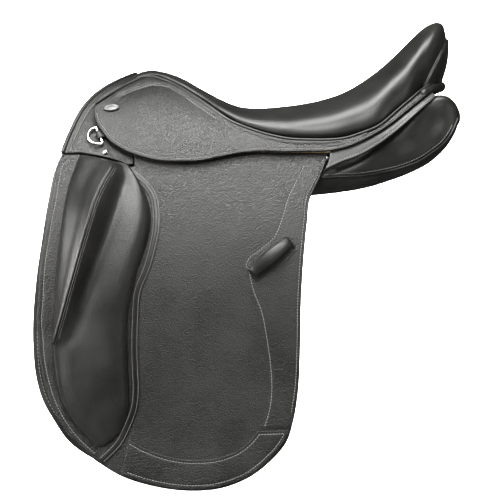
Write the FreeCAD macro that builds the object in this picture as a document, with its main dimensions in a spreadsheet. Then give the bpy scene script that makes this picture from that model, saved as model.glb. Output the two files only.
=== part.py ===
"""English dressage saddle, built from its tree outwards. Millimetres.

X runs rearwards along the spine, Y to the horse's right and Z up. The origin lies on the symmetry plane,
level with the underside of the panels, below the middle of the seat. The left side is modelled, and the
right side is its mirror image.

The two sides of the saddle hang along one curve in the YZ plane, the side curve: vertical at the bottom,
then an arc round the horse's barrel, then a tighter arc over the shoulder. Every flat leather layer is the
part of a band between two offsets of that curve that lies inside the layer's own outline in the XZ plane.
"""
import FreeCAD, Part
import math
import os

DIMENSIONS = [
    ("half_width", 180, "half width between the sweat flaps where they hang straight"),
    ("barrel_height", -150, "height where the side curve leaves the vertical"),
    ("barrel_radius", 400, "radius of the side curve round the barrel"),
    ("shoulder_angle", 32, "slope from the vertical where the shoulder arc begins, degrees"),
    ("shoulder_radius", 200, "radius of the side curve over the shoulder"),
    ("reach", 320, "length of the prisms that the side layers are cut from"),
    ("fore_reach", 700, "length of the bands that the side layers are cut from"),
    ("sweat_flap_thickness", 2.5, "sweat flap leather"),
    ("strap_offset", 5.5, "inner face of the girth straps on the side curve"),
    ("strap_thickness", 4, "girth strap leather"),
    ("strap_width", 25, "girth strap width"),
    ("strap_hole_radius", 2.5, "punched hole in a girth strap"),
    ("strap_hole_pitch", 25, "distance between the holes of a girth strap"),
    ("flap_offset", 12.5, "inner face of the flap on the side curve"),
    ("flap_thickness", 4, "flap leather"),
    ("trim_thickness", 1.6, "patches and binding sewn on the flap"),
    ("facing_thickness", 3, "front facing leather"),
    ("skirt_offset", 22, "inner face of the skirt's free edge on the side curve"),
    ("skirt_thickness", 3, "skirt leather"),
    ("seat_cover_thickness", 3, "seat leather"),
    ("panel_cover_thickness", 2, "panel leather"),
    ("fit_gap", 0.4, "clearance between neighbouring pieces"),
    ("bar_radius", 4.5, "stirrup bar rod"),
    ("bar_length", 57, "stirrup bar rod from inside its post to the lap"),
    ("bar_plate_length", 84, "stirrup bar base plate"),
    ("bar_plate_height", 22, "stirrup bar base plate"),
    ("bar_plate_thickness", 4, "stirrup bar base plate"),
    ("bar_gap", 7, "room for the stirrup leather between rod and plate"),
    ("catch_length", 22, "hinged catch behind the rod"),
    ("catch_radius", 4.2, "hinged catch, slimmer than the rod so that the leather slides on"),
    ("catch_pin_radius", 1.25, "hinge pin of the catch"),
    ("rivet_radius", 2.5, "rivet shank"),
    ("rivet_head_radius", 4.5, "rivet head"),
    ("dee_wire_radius", 1.6, "dee ring wire"),
    ("dee_length", 26, "straight leg of the dee ring"),
    ("dee_depth", 15, "dee ring from its leg to the far side of the bow"),
    ("nail_radius", 4.2, "domed head of the saddle nail"),
    ("badge_length", 20, "oval badge on the skirt"),
    ("badge_width", 11, "oval badge on the skirt"),
    ("badge_thickness", 1.2, "oval badge on the skirt"),
    ("keeper_length", 50, "stirrup leather keeper, along its arch"),
    ("keeper_width", 15, "stirrup leather keeper, across the leather's path"),
    ("keeper_gap", 7, "room under the keeper for a stirrup leather"),
    ("keeper_thickness", 2.6, "keeper leather"),
]

doc = FreeCAD.newDocument("EnglishSaddle")
sheet = doc.addObject("Spreadsheet::Sheet", "Dimensions")
for row, (alias, value, note) in enumerate(DIMENSIONS, start=1):
    sheet.set(f"A{row}", note)
    sheet.set(f"B{row}", str(value))
    sheet.setAlias(f"B{row}", alias)
doc.recompute()

Vector = FreeCAD.Vector
NODES = {}
BAND_LOW = -400.0
BAND_FRONT = -350.0


def dim(alias):
    """A driving dimension's value."""
    return float(sheet.get(alias))


UP = Vector(0, 0, 1)

# ---- the side curve -------------------------------------------------------------------------------

BARREL_CENTRE = (dim("barrel_radius") - dim("half_width"), dim("barrel_height"))
SHOULDER_ANGLE = math.radians(dim("shoulder_angle"))
RADIUS_STEP = dim("barrel_radius") - dim("shoulder_radius")
SHOULDER_CENTRE = (
    BARREL_CENTRE[0] - RADIUS_STEP * math.cos(SHOULDER_ANGLE),
    BARREL_CENTRE[1] + RADIUS_STEP * math.sin(SHOULDER_ANGLE),
)


TOP_ANGLE = math.radians(88)


def side_angle(height, offset):
    """Slope of the offset side curve from the vertical at this height, in radians."""
    if height <= BARREL_CENTRE[1]:
        return 0.0
    angle = math.asin(min(1.0, (height - BARREL_CENTRE[1]) / (dim("barrel_radius") + offset)))
    if angle > SHOULDER_ANGLE:
        angle = math.asin(min(1.0, (height - SHOULDER_CENTRE[1]) / (dim("shoulder_radius") + offset)))
    return angle


def side_at_angle(angle, offset):
    """Point (y, z) of the offset side curve where its slope is this angle."""
    if angle <= SHOULDER_ANGLE:
        centre, radius = BARREL_CENTRE, dim("barrel_radius")
    else:
        centre, radius = SHOULDER_CENTRE, dim("shoulder_radius")
    radius += offset
    return centre[0] - radius * math.cos(angle), centre[1] + radius * math.sin(angle)


def side_y(height, offset):
    """Y of the offset side curve on the left side."""
    if height <= BARREL_CENTRE[1]:
        return -(dim("half_width") + offset)
    return side_at_angle(side_angle(height, offset), offset)[0]


def side_edges(offset, low):
    """The offset side curve from a height up to TOP_ANGLE, as edges in the YZ plane."""
    def arc(first, last):
        points = [side_at_angle(first + (last - first) * share, offset) for share in (0, 0.5, 1)]
        return Part.Arc(*[Vector(0, y, z) for y, z in points]).toShape()

    y = side_y(low, offset)
    return [
        Part.LineSegment(Vector(0, y, low), Vector(0, y, BARREL_CENTRE[1])).toShape(),
        arc(0.0, SHOULDER_ANGLE),
        arc(SHOULDER_ANGLE, TOP_ANGLE),
    ]


# ---- document helpers -----------------------------------------------------------------------------


def bind(thing, name, expression):
    """Ties a property of a document object to the spreadsheet."""
    thing.setExpression(name, expression.replace("$", "Dimensions."))


def feature(name, shape):
    """A document object that holds a shape made with Part's own functions."""
    thing = doc.addObject("Part::Feature", name)
    thing.Shape = shape
    return thing


def extrusion(name, face, direction, length):
    """A face pushed along a direction by a length taken from the spreadsheet."""
    thing = doc.addObject("Part::Extrusion", name)
    thing.Base = feature(name + "_face", face)
    thing.DirMode = "Custom"
    thing.Dir = direction
    bind(thing, "LengthFwd", length)
    thing.Solid = True
    return thing


def boolean(kind, name, *parts):
    """Common, Cut or Fuse of document objects."""
    if kind == "Cut":
        thing = doc.addObject("Part::Cut", name)
        thing.Base, thing.Tool = parts
    elif kind == "Common":
        thing = doc.addObject("Part::Common", name)
        thing.Base, thing.Tool = parts
    else:
        thing = doc.addObject("Part::MultiFuse", name)
        thing.Shapes = list(parts)
    return thing


def loft(name, sections, ruled=False):
    """A solid through closed wires."""
    thing = doc.addObject("Part::Loft", name)
    thing.Sections = [feature(f"{name}_section_{n}", wire) for n, wire in enumerate(sections)]
    thing.Solid = True
    thing.Ruled = ruled
    return thing


def node(label, thing):
    """Names a finished sub-part."""
    thing.Label = label
    NODES[label] = thing
    return thing


def both_sides(label, thing):
    """The left sub-part, and its mirror image on the right."""
    node(label + "_left", thing)
    mirror = doc.addObject("Part::Mirroring", label.title().replace("_", "") + "Right")
    mirror.Source = thing
    mirror.Base = Vector(0, 0, 0)
    mirror.Normal = Vector(0, 1, 0)
    node(label + "_right", mirror)


def spline(points, closed=False):
    """An edge through points."""
    curve = Part.BSplineCurve()
    curve.interpolate([Vector(*p) for p in points], PeriodicFlag=closed)
    return curve.toShape()


def polyline(points):
    """Straight edges through points."""
    return [
        Part.LineSegment(Vector(*a), Vector(*b)).toShape() for a, b in zip(points, points[1:])
    ]


def at_side(x, z, y=0.0):
    return (x, y, z)


def outline_face(curve_points, straight_points):
    """Face in the XZ plane inside a smooth edge and the straight edges that close it."""
    curve = [at_side(*p) for p in curve_points]
    corners = [curve[-1], *[at_side(*p) for p in straight_points], curve[0]]
    wire = Part.Wire(Part.__sortEdges__([spline(curve), *polyline(corners)]))
    return Part.Face(wire)


def band(name, inner, outer):
    """The layer of the left side between two offsets of the side curve, over the saddle's length."""
    inner_edges = side_edges(inner, BAND_LOW)
    outer_edges = side_edges(outer, BAND_LOW)
    foot = [Vector(0, side_y(BAND_LOW, offset), BAND_LOW) for offset in (inner, outer)]
    crown = [Vector(0, *side_at_angle(TOP_ANGLE, offset)) for offset in (inner, outer)]
    caps = [Part.LineSegment(*foot).toShape(), Part.LineSegment(*crown).toShape()]
    face = Part.Face(Part.Wire(Part.__sortEdges__([*inner_edges, *outer_edges, *caps])))
    face.translate(Vector(BAND_FRONT, 0, 0))
    return extrusion(name, face, Vector(1, 0, 0), "$fore_reach")


def layer(name, face, inner, outer):
    """A flat leather piece: its outline cut from the layer between two offsets."""
    prism = extrusion(name + "_outline", face, Vector(0, -1, 0), "$reach")
    return boolean("Common", name, prism, band(name + "_band", inner, outer))


def grouped(name, *parts):
    """Several solids that are one node."""
    thing = doc.addObject("Part::Compound", name)
    thing.Links = list(parts)
    return thing


def mirrored(name, thing):
    """The right-hand copy of a left-hand object."""
    mirror = doc.addObject("Part::Mirroring", name)
    mirror.Source = thing
    mirror.Normal = Vector(0, 1, 0)
    return mirror


def cylinder(name, radius, height, base, direction):
    """A rod or a drill; radius and height are spreadsheet expressions."""
    rod = doc.addObject("Part::Cylinder", name)
    bind(rod, "Radius", radius)
    bind(rod, "Height", height)
    rod.Placement = FreeCAD.Placement(base, FreeCAD.Rotation(Vector(0, 0, 1), direction))
    return rod


def side_frame(x, z, offset, roll=0.0):
    """Placement on the side curve: local X along the saddle, -Y outwards, Z up the sheet, rolled about Y."""
    angle = side_angle(z, offset)
    tilt = FreeCAD.Rotation(Vector(1, 0, 0), -math.degrees(angle))
    roll_turn = FreeCAD.Rotation(Vector(0, 1, 0), roll)
    return FreeCAD.Placement(Vector(x, side_y(z, offset), z), tilt.multiply(roll_turn))


def swept(name, spine, radius):
    """A round cord along an edge or wire."""
    first = spine.Edges[0]
    start = first.valueAt(first.FirstParameter)
    tangent = first.tangentAt(first.FirstParameter)
    section = Part.Wire([Part.makeCircle(radius, start, tangent)])
    cord = doc.addObject("Part::Sweep", name)
    cord.Sections = [feature(name + "_section", section)]
    cord.Spine = (feature(name + "_spine", Part.Wire(spine.Edges)), [])
    cord.Solid = True
    cord.Frenet = False
    return cord


# ---- tree -----------------------------------------------------------------------------------------

GAP = dim("fit_gap")
ARCH_OFFSET = -12.0
ARCH_HALF = 6.0
ARCH_WIDTH = 42.0
POINT_TIP_Z = 12.0
ARCH_STEPS = 10


def arch_x(z):
    """The head arch leans back towards its crown."""
    return -188 + 0.0026 * (z - POINT_TIP_Z) ** 2


def arch_stations(lift):
    """Middle line of the head arch from the point up to the crown, moved outwards by lift."""
    first = side_angle(POINT_TIP_Z, ARCH_OFFSET)
    last = math.acos(SHOULDER_CENTRE[0] / (dim("shoulder_radius") + ARCH_OFFSET))
    stations = []
    for step in range(ARCH_STEPS + 1):
        angle = first + (last - first) * step / ARCH_STEPS
        y, z = side_at_angle(angle, ARCH_OFFSET)
        out = Vector(0, -math.cos(angle), math.sin(angle))
        if step == ARCH_STEPS:
            out = Vector(0, 0, 1 / math.sin(angle))
        stations.append((Vector(arch_x(z), y, z) + out * lift, out))
    return stations


def arch_strip(name, lift, thickness, width, first=0):
    """A strip that follows the head arch over both sides, from its first station up."""
    half = arch_stations(lift)[first:]
    other = [(Vector(p.x, -p.y, p.z), Vector(n.x, -n.y, n.z)) for p, n in reversed(half[:-1])]
    sections = []
    for middle, out in [*half, *other]:
        front = middle - Vector(width / 2, 0, 0)
        back = middle + Vector(width / 2, 0, 0)
        step = out * (thickness / 2)
        corners = [front + step, back + step, back - step, front - step, front + step]
        sections.append(Part.makePolygon(corners))
    return loft(name, sections, ruled=True)


def curve_rail(x, z, half_width, half_thickness):
    """Rail station where the rail lies along the side curve."""
    slope = 90 - math.degrees(side_angle(z, ARCH_OFFSET))
    return (x, side_y(z, ARCH_OFFSET), z, half_width, half_thickness, slope)


# x, y and z of the rail's middle, its half width and half thickness, and its slope from the horizontal
RAIL_STATIONS = [
    curve_rail(-172, 92, 15, 4.8),
    curve_rail(-140, 84, 17, 4.8),
    curve_rail(-100, 77, 18, 5.2),
    curve_rail(-66, 73, 18, 5.2),
    (-20, -96, 67, 20, 5.5, 34),
    (30, -97, 61, 18, 5.5, 16),
    (80, -101, 59, 17, 5.5, 6),
    (125, -101, 63, 17, 5.5, 0),
    (165, -94, 77, 18, 5.5, -4),
    (195, -76, 96, 17, 5.5, -6),
    (218, -50, 116, 16, 5.5, -6),
    (230, -24, 128, 16, 5.5, -3),
    (233, 0, 132, 16, 5.5, 0),
]


def rail_wires(stations, lift=0.0, half_width=None, half_thickness=None):
    """Rectangles across the rail, turned to follow it round the cantle."""
    wires = []
    for x, y, z, own_width, own_half, slope in stations:
        wide = half_width or own_width
        thick = half_thickness or own_half
        rise = lift and math.copysign(own_half, lift) + lift
        c, s = math.cos(math.radians(slope)), math.sin(math.radians(slope))
        corners = []
        for u, v in ((1, 1), (-1, 1), (-1, -1), (1, -1), (1, 1)):
            along, up = u * wide, v * thick + rise
            corners.append(Vector(x, y - along * c - up * s, z - along * s + up * c))
        wire = Part.makePolygon(corners)
        share = max(0.0, min(1.0, (x - 125.0) / 108.0))
        wire.rotate(Vector(x, y, z), Vector(0, 0, 1), -90 * share)
        wires.append(wire)
    return wires


def whole_rail(name, wires):
    """Both rails in one sweep: the left stations and their mirror images."""
    turned = []
    for wire in reversed(wires[:-1]):
        points = [Vector(v.Point.x, -v.Point.y, v.Point.z) for v in wire.OrderedVertexes]
        order = [points[1], points[0], points[3], points[2], points[1]]
        turned.append(Part.makePolygon(order))
    return loft(name, [*wires, *turned], ruled=True)


tree_rails = whole_rail("TreeRails", rail_wires(RAIL_STATIONS))
head_arch = arch_strip("TreeHead", 0.0, 2 * ARCH_HALF, ARCH_WIDTH)
tree_blank = boolean("Fuse", "TreeBlank", tree_rails, head_arch)

PLATE_THICKNESS = 2.5
PLATE_LIFT = ARCH_HALF + GAP / 2 + PLATE_THICKNESS / 2
PLATE_WIDTH = 26.0
PLATE_FIRST = 3


def drilled(name, thing, drills):
    """An object with every drill cut through it."""
    return boolean("Cut", name, thing, grouped(name + "_drills", *drills))


def normal_rods(name, spots, depth_out, depth_in, radius):
    """Rods across the side curve at (x, z) spots on both sides, from depth_out to depth_in."""
    rods = []
    for number, (x, z, sign) in enumerate((x, z, sign) for x, z in spots for sign in (1, -1)):
        angle = side_angle(z, ARCH_OFFSET)
        out = Vector(0, -math.cos(angle) * sign, math.sin(angle))
        middle = Vector(x, side_y(z, ARCH_OFFSET) * sign, z)
        rod = doc.addObject("Part::Cylinder", f"{name}_{number}")
        bind(rod, "Radius", radius)
        rod.Height = depth_out - depth_in
        start = middle + out * depth_in
        rod.Placement = FreeCAD.Placement(start, FreeCAD.Rotation(Vector(0, 0, 1), out))
        rods.append(rod)
    return rods


TREE_RIVET_SPOTS = [(arch_x(84), 84), (arch_x(106), 106)]
BAR_Z = 73.0
BAR_PLATE_X = -150.0
BAR_RIVET_SPOTS = [(BAR_PLATE_X + 10, BAR_Z), (BAR_PLATE_X + 70, BAR_Z)]
HOLE_RADIUS = "$rivet_radius + $fit_gap / 2"
tree_holes = normal_rods("TreeHole", TREE_RIVET_SPOTS, 30, -30, HOLE_RADIUS)
bar_holes = normal_rods("BarHole", BAR_RIVET_SPOTS, 30, -30, HOLE_RADIUS)
node("tree_frame", drilled("TreeFrame", tree_blank, [*tree_holes, *bar_holes]))
head_plate = arch_strip("HeadPlateBlank", PLATE_LIFT + 0.3, PLATE_THICKNESS, PLATE_WIDTH, PLATE_FIRST)
gullet_plate = arch_strip("GulletPlateBlank", -PLATE_LIFT - 0.3, PLATE_THICKNESS, PLATE_WIDTH, PLATE_FIRST)
node("head_plate", drilled("HeadPlate", head_plate, tree_holes))
node("gullet_plate", drilled("GulletPlate", gullet_plate, tree_holes))
HEAD_HEIGHT = 1.8
outer_face = PLATE_LIFT + 0.3 + PLATE_THICKNESS / 2 + GAP
shanks = normal_rods("RivetShank", TREE_RIVET_SPOTS, outer_face, -outer_face, "$rivet_radius")
heads = normal_rods("RivetHead", TREE_RIVET_SPOTS, outer_face + HEAD_HEIGHT, outer_face, "$rivet_head_radius")
tails = normal_rods("RivetTail", TREE_RIVET_SPOTS, -outer_face, -outer_face - HEAD_HEIGHT, "$rivet_head_radius")
node("tree_rivets", grouped("TreeRivets", *[
    boolean("Fuse", f"TreeRivet{n}", *trio) for n, trio in enumerate(zip(shanks, heads, tails))
]))

CANTLE_FROM = 10
cantle_wires = rail_wires(RAIL_STATIONS[CANTLE_FROM:], -3.6, 11, 1.2)
node("cantle_plate", whole_rail("CantlePlate", cantle_wires))
spring_wires = rail_wires(RAIL_STATIONS[4:8], -(GAP + 1.2), 7, 0.8)
spring_rail = loft("SpringRail", spring_wires, ruled=True)
node("spring_rails", grouped("SpringRails", spring_rail, mirrored("SpringRailRight", spring_rail)))

# ---- stirrup bars ---------------------------------------------------------------------------------

BAR_OFFSET = 11.0
bar_place = side_frame(0, BAR_Z, BAR_OFFSET)
CATCH_PIN_X = -74.0
ROD_START_X = -136.0


def local_box(name, x, y, z, length, width, height, place):
    """A box laid out in a local frame."""
    box = doc.addObject("Part::Box", name)
    bind(box, "Length", length)
    bind(box, "Width", width)
    bind(box, "Height", height)
    box.Placement = place.multiply(FreeCAD.Placement(Vector(x, y, z), FreeCAD.Rotation()))
    return box


def local_rod(name, radius, height, base, direction, place):
    """A cylinder laid out in a local frame."""
    rod = cylinder(name, radius, height, Vector(0, 0, 0), direction)
    rod.Placement = place.multiply(FreeCAD.Placement(base, FreeCAD.Rotation(Vector(0, 0, 1), direction)))
    return rod


plate_y = dim("bar_radius") + dim("bar_gap")
bar_plate = local_box(
    "BarPlate", BAR_PLATE_X, plate_y, -11, "$bar_plate_length", "$bar_plate_thickness",
    "$bar_plate_height", bar_place,
)
bar_post = local_box("BarPost", -146, -4.5, -4.5, "12", "2 * $bar_radius + $bar_gap + 1", "9", bar_place)
ROD_AXIS = Vector(1, 0, 0)
bar_rod = local_rod("BarRod", "$bar_radius", "$bar_length", Vector(ROD_START_X, 0, 0), ROD_AXIS, bar_place)
tongue_disc = local_rod(
    "TongueDisc", "$catch_radius", "$catch_radius - $fit_gap / 2", Vector(CATCH_PIN_X, 0.2, 0),
    Vector(0, 1, 0), bar_place,
)
tongue_arm = local_box(
    "TongueArm", CATCH_PIN_X - 6, 0.2, -3, "6", "$catch_radius - $fit_gap / 2 - 1.0", "6", bar_place,
)
bar_solid = boolean("Fuse", "BarSolid", bar_plate, bar_post, bar_rod, tongue_disc, tongue_arm)
rod_start = Vector(ROD_START_X, 0, 0)
bar_envelope = local_rod("BarEnvelope", "$bar_radius", "$bar_length", rod_start, ROD_AXIS, bar_place)
lap_envelope = local_rod("LapEnvelope", "$catch_radius", "76", Vector(ROD_START_X, 0, 0), ROD_AXIS, bar_place)
keep_plate = local_box("KeepPlate", -160, plate_y - 8.5, -20, "76", "20", "40", bar_place)
keep_rear = local_box("KeepRear", -160, plate_y - 1, -20, "120", "20", "40", bar_place)
bar_limits = boolean("Fuse", "BarLimits", bar_envelope, lap_envelope, keep_plate, keep_rear)
pin_hole = local_rod(
    "PinHole", "$catch_pin_radius + $fit_gap / 2", "12", Vector(CATCH_PIN_X, -6, 0), Vector(0, 1, 0), bar_place,
)
post_box = local_box("PostBox", -150, -8, -20, "16", "30", "40", bar_place)
bar_limits_all = boolean("Fuse", "BarLimitsAll", bar_limits, post_box)
bar_trimmed = boolean("Common", "BarTrimmed", bar_solid, bar_limits_all)
both_sides("stirrup_bar", drilled("StirrupBar", bar_trimmed, [pin_hole, bar_holes[0], bar_holes[2]]))

catch_disc = local_rod(
    "CatchDisc", "$catch_radius", "$catch_radius - $fit_gap / 2", Vector(CATCH_PIN_X, -dim("catch_radius"), 0),
    Vector(0, 1, 0), bar_place,
)
catch_arm = local_box(
    "CatchArm", CATCH_PIN_X, -3.2, -3, "7", "$catch_radius - $fit_gap / 2 - 1.0", "6", bar_place,
)
catch_rod = local_rod(
    "CatchRod", "$catch_radius", "$catch_length - 5", Vector(CATCH_PIN_X + 5, 0, 0), Vector(1, 0, 0), bar_place,
)
catch_blank = boolean("Fuse", "CatchBlank", catch_disc, catch_arm, catch_rod)
catch_limits = local_rod("CatchLimits", "$catch_radius", "60", Vector(-100, 0, 0), Vector(1, 0, 0), bar_place)
catch_trimmed = boolean("Common", "CatchTrimmed", catch_blank, catch_limits)
both_sides("bar_catch", drilled("BarCatch", catch_trimmed, [pin_hole]))
catch_pin = local_rod(
    "CatchPin", "$catch_pin_radius", "7.6", Vector(CATCH_PIN_X, -3.8, 0), Vector(0, 1, 0), bar_place,
)
node("catch_pins", grouped("CatchPins", catch_pin, mirrored("CatchPinRight", catch_pin)))

bar_plate_out = BAR_OFFSET - plate_y - ARCH_OFFSET
bar_head = normal_rods(
    "BarHead", BAR_RIVET_SPOTS, bar_plate_out + 0.4 + HEAD_HEIGHT, bar_plate_out + 0.4, "$rivet_head_radius",
)
bar_shank = normal_rods("BarShank", BAR_RIVET_SPOTS, bar_plate_out + 0.4, -8.6, "$rivet_radius")
bar_tail = normal_rods("BarTail", BAR_RIVET_SPOTS, -8.6, -8.6 - 1.4, "$rivet_head_radius")
node("bar_rivets", grouped("BarRivets", *[
    boolean("Fuse", f"BarRivet{n}", *trio) for n, trio in enumerate(zip(bar_head, bar_shank, bar_tail))
]))

# ---- seat -----------------------------------------------------------------------------------------

# x, height of the seam between seat and skirt, height of the seat above it on the symmetry plane
SEAT_LINE = [
    (-187, 121, None), (-168, 134, None), (-142, 149, None), (-119, 157, None),
    (-97, 152, 163), (-65, 134, 150), (-39, 116, 135), (-13, 98, 122), (13, 87, 117), (39, 79, 117),
    (65, 74, 119), (90, 73, 124), (116, 73, 130), (136, 75, 138), (155, 81, 147), (181, 92, 165),
    (194, 102.5, 176), (207, 114, 189), (220, 125, 203), (233, 136, 215), (243, 143.5, 222.5),
    (252, 150, 227),
]
SEAM = [(x, z) for x, z, top in SEAT_LINE]
SEAM_OFFSET = 24.0
DOME = [(-1, 0), (-0.93, 0.36), (-0.62, 0.80), (0, 1), (0.62, 0.80), (0.93, 0.36), (1, 0)]


def dome_wire(x, half_width, low, high):
    """Cross-section of the seat: a flat base and a domed top."""
    points = [(x, share * half_width, low + rise * (high - low)) for share, rise in DOME]
    base = Part.LineSegment(Vector(*points[-1]), Vector(*points[0])).toShape()
    return Part.Wire([spline(points), base])


def seam_half_width(z, offset=SEAM_OFFSET):
    return -side_y(z, offset)


WELT_GAP = 4.0
cover_lines = [(-132, 153.5, 163), (-114, 157, 165)] + [row for row in SEAT_LINE if row[2]]
cover_outer = loft("CoverOuter", [
    dome_wire(x, seam_half_width(seam), seam + WELT_GAP, top) for x, seam, top in cover_lines
])
leather = dim("seat_cover_thickness")
cover_inner = loft("CoverInner", [
    dome_wire(x, seam_half_width(seam) - leather, seam + WELT_GAP - 1, top - leather)
    for x, seam, top in cover_lines
])
node("seat_cover", boolean("Cut", "SeatCover", cover_outer, cover_inner))

# x and height of the underside of the seat foam
FOAM_BASE = [
    (-132, 150), (-114, 146), (-97, 128), (-65, 102), (-39, 99), (-13, 92), (13, 86), (39, 83), (65, 83),
    (90, 80), (116, 79), (136, 80), (155, 86), (181, 97), (194, 106), (207, 116), (220, 128), (233, 140),
    (243, 144), (252, 150),
]
foam_inset = leather + GAP + 1.6


def foam_half_width(seam, base):
    """The foam narrows where its underside lies above the lower edge of the leather."""
    return seam_half_width(seam) - foam_inset - 0.7 * max(0.0, base - seam - WELT_GAP + 1)


foam_sections = [
    dome_wire(x, foam_half_width(row[1], base), base, row[2] - foam_inset)
    for (x, base), row in zip(FOAM_BASE, cover_lines)
]
foam_room = doc.addObject("Part::Box", "FoamRoom")
foam_room.Length, foam_room.Width, foam_room.Height = 368, 400, 300
foam_room.Placement.Base = Vector(-117, -200, 0)
node("seat_foam", boolean("Common", "SeatFoam", loft("FoamBody", foam_sections), foam_room))

CANTLE_END = [(252.6, 56, 140, 226.5), (262, 50, 142, 227), (268, 38, 148, 216), (271, 20, 160, 200)]
node("cantle_facing", loft("CantleFacing", [
    dome_wire(x, half_width, low, high) for x, half_width, low, high in CANTLE_END
]))


def cross_strip(name, stations, thickness):
    """A strip across the seat from rail to rail: stations of x, half width at the rail, height."""
    sections = []
    for x, half_width, height in stations:
        top = [Vector(x, y, height) for y in (-half_width, half_width)]
        under = [point - Vector(0, 0, thickness) for point in reversed(top)]
        sections.append(Part.makePolygon([*top, *under, top[0]]))
    return loft(name, sections, ruled=True)


WEB_STATIONS = [
    (-62, 74, 93), (-39, 74, 89.5), (-13, 76, 86.5), (13, 76, 80), (39, 78, 76.5), (90, 80, 73),
    (125, 78, 74),
    (150, 70, 82),
]
node("seat_webbing", cross_strip("SeatWebbing", WEB_STATIONS, 1.6))


def girth_web(name, first, last, height):
    """A web over the tree that carries one girth strap on each side."""
    profile = [(0, height), (-70, height - 1)]
    for z in (height - 7, height - 14):
        profile.append((side_y(z, 0.5), z))
    profile.append((side_y(63, 4.2), 63))
    other = [(-y, z) for y, z in reversed(profile[1:])]
    ridge = [*other, *profile]
    top = [Vector(first, y, z) for y, z in ridge]
    inner = [Vector(first, y * 0.988, z - 1.4) for y, z in reversed(ridge)]
    face = Part.Face(Part.makePolygon([*top, *inner, top[0]]))
    strip = doc.addObject("Part::Extrusion", name)
    strip.Base = feature(name + "_face", face)
    strip.DirMode = "Custom"
    strip.Dir = Vector(1, 0, 0)
    strip.LengthFwd = last - first
    strip.Solid = True
    return strip


STRAP_X = {"front": -50.0, "rear": 45.0}
front_web = girth_web("GirthWebFront", STRAP_X["front"] - 12, STRAP_X["front"] + 12, 98.5)
rear_web = girth_web("GirthWebRear", STRAP_X["rear"] - 12, STRAP_X["rear"] + 12, 81)
node("girth_webs", grouped("GirthWebs", front_web, rear_web))

# ---- panels ---------------------------------------------------------------------------------------

# x, then (y, z) of the four rounded corners: upper gullet, lower gullet, lower outer, upper outer
PANEL_LINE = [
    (-218, (-44, 66), (-122, -22), (-150, -30), (-68, 84)),
    (-190, (-35, 84), (-141, -58), (-166, -66), (-58, 95)),
    (-150, (-35, 84), (-141, -56), (-166, -62), (-60, 92)),
    (-100, (-36, 76), (-132, -36), (-160, -40), (-68, 78)),
    (-50, (-36, 62), (-104, -4), (-148, -4), (-80, 58)),
    (0, (-36, 48), (-60, 2), (-142, 8), (-112, 44)),
    (50, (-36, 46), (-50, 0), (-142, 9), (-122, 44)),
    (100, (-36, 46), (-48, 4), (-142, 10), (-126, 42)),
    (150, (-36, 56), (-46, 10), (-136, 16), (-128, 56)),
    (200, (-36, 76), (-44, 22), (-120, 30), (-108, 78)),
    (240, (-36, 104), (-44, 38), (-104, 46), (-92, 108)),
    (268, (-38, 118), (-46, 62), (-94, 72), (-82, 124)),
    (284, (-48, 112), (-52, 94), (-80, 96), (-76, 114)),
]


def panel_wire(x, corners, inset):
    """Rounded cross-section of a panel, moved inwards by inset."""
    points = []
    for k in range(4):
        before, corner, after = corners[k - 1], corners[k], corners[(k + 1) % 4]
        centre = [sum(c[i] for c in corners) / 4 for i in (0, 1)]
        points.append([corner[i] + 0.10 * (centre[i] - corner[i]) for i in (0, 1)])
        middle = [(corner[i] + after[i]) / 2 for i in (0, 1)]
        points.append([middle[i] + 0.04 * (middle[i] - centre[i]) for i in (0, 1)])
    moved = []
    for k, (y, z) in enumerate(points):
        (y0, z0), (y1, z1) = points[k - 1], points[(k + 1) % 8]
        length = math.hypot(y1 - y0, z1 - z0)
        moved.append((x, y - inset * (z0 - z1) / length, z - inset * (y1 - y0) / length))
    curve = Part.BSplineCurve()
    curve.interpolate([Vector(*p) for p in moved], PeriodicFlag=True)
    knots = curve.getKnots()
    rounded = []
    for low, high in zip(knots, knots[1:]):
        rounded.append(curve.value(low))
        rounded.append(curve.value((low + high) / 2))
    return Part.makePolygon([*rounded, rounded[0]])


def panel_loft(name, inset, trim=0.0):
    """A panel body through every station, its surface moved inwards by inset."""
    sections = []
    for x, *corners in PANEL_LINE:
        if x == PANEL_LINE[0][0]:
            x += trim
        if x == PANEL_LINE[-1][0]:
            x -= trim
        sections.append(panel_wire(x, corners, inset))
    return loft(name, sections, ruled=True)


PANEL_LEATHER = dim("panel_cover_thickness")
panel_shell = boolean(
    "Cut", "PanelShell", panel_loft("PanelOuter", 0.0), panel_loft("PanelInner", PANEL_LEATHER, PANEL_LEATHER)
)
wool_loft = panel_loft("WoolLoft", PANEL_LEATHER + GAP + 0.9, PANEL_LEATHER + GAP)
both_sides("panel_flocking", boolean("Cut", "PanelFlocking", wool_loft, panel_shell))

GUSSET_SEAM = [
    (108, 24), (155, 26), (181, 30), (207, 36), (233, 46), (252, 59),
]
GUSSET_INNER_Y = -88.0


def gusset_region(name, grow):
    """Region below the gusset seam on the outer side, widened by grow."""
    top = [(x, z + grow) for x, z in GUSSET_SEAM]
    top[0] = (top[0][0] - grow, top[0][1])
    top[-1] = (top[-1][0] + grow, top[-1][1])
    face = outline_face(top, [(top[-1][0], -20), (top[0][0], -20)])
    face.translate(Vector(0, GUSSET_INNER_Y + grow, 0))
    return extrusion(name, face, Vector(0, -1, 0), "$reach")


both_sides("panel_cover", boolean("Cut", "PanelCover", panel_shell, gusset_region("GussetCut", GAP)))
both_sides("panel_gusset", boolean("Common", "PanelGusset", panel_shell, gusset_region("GussetRoom", 0.0)))

# ---- leather layers -------------------------------------------------------------------------------

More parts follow.
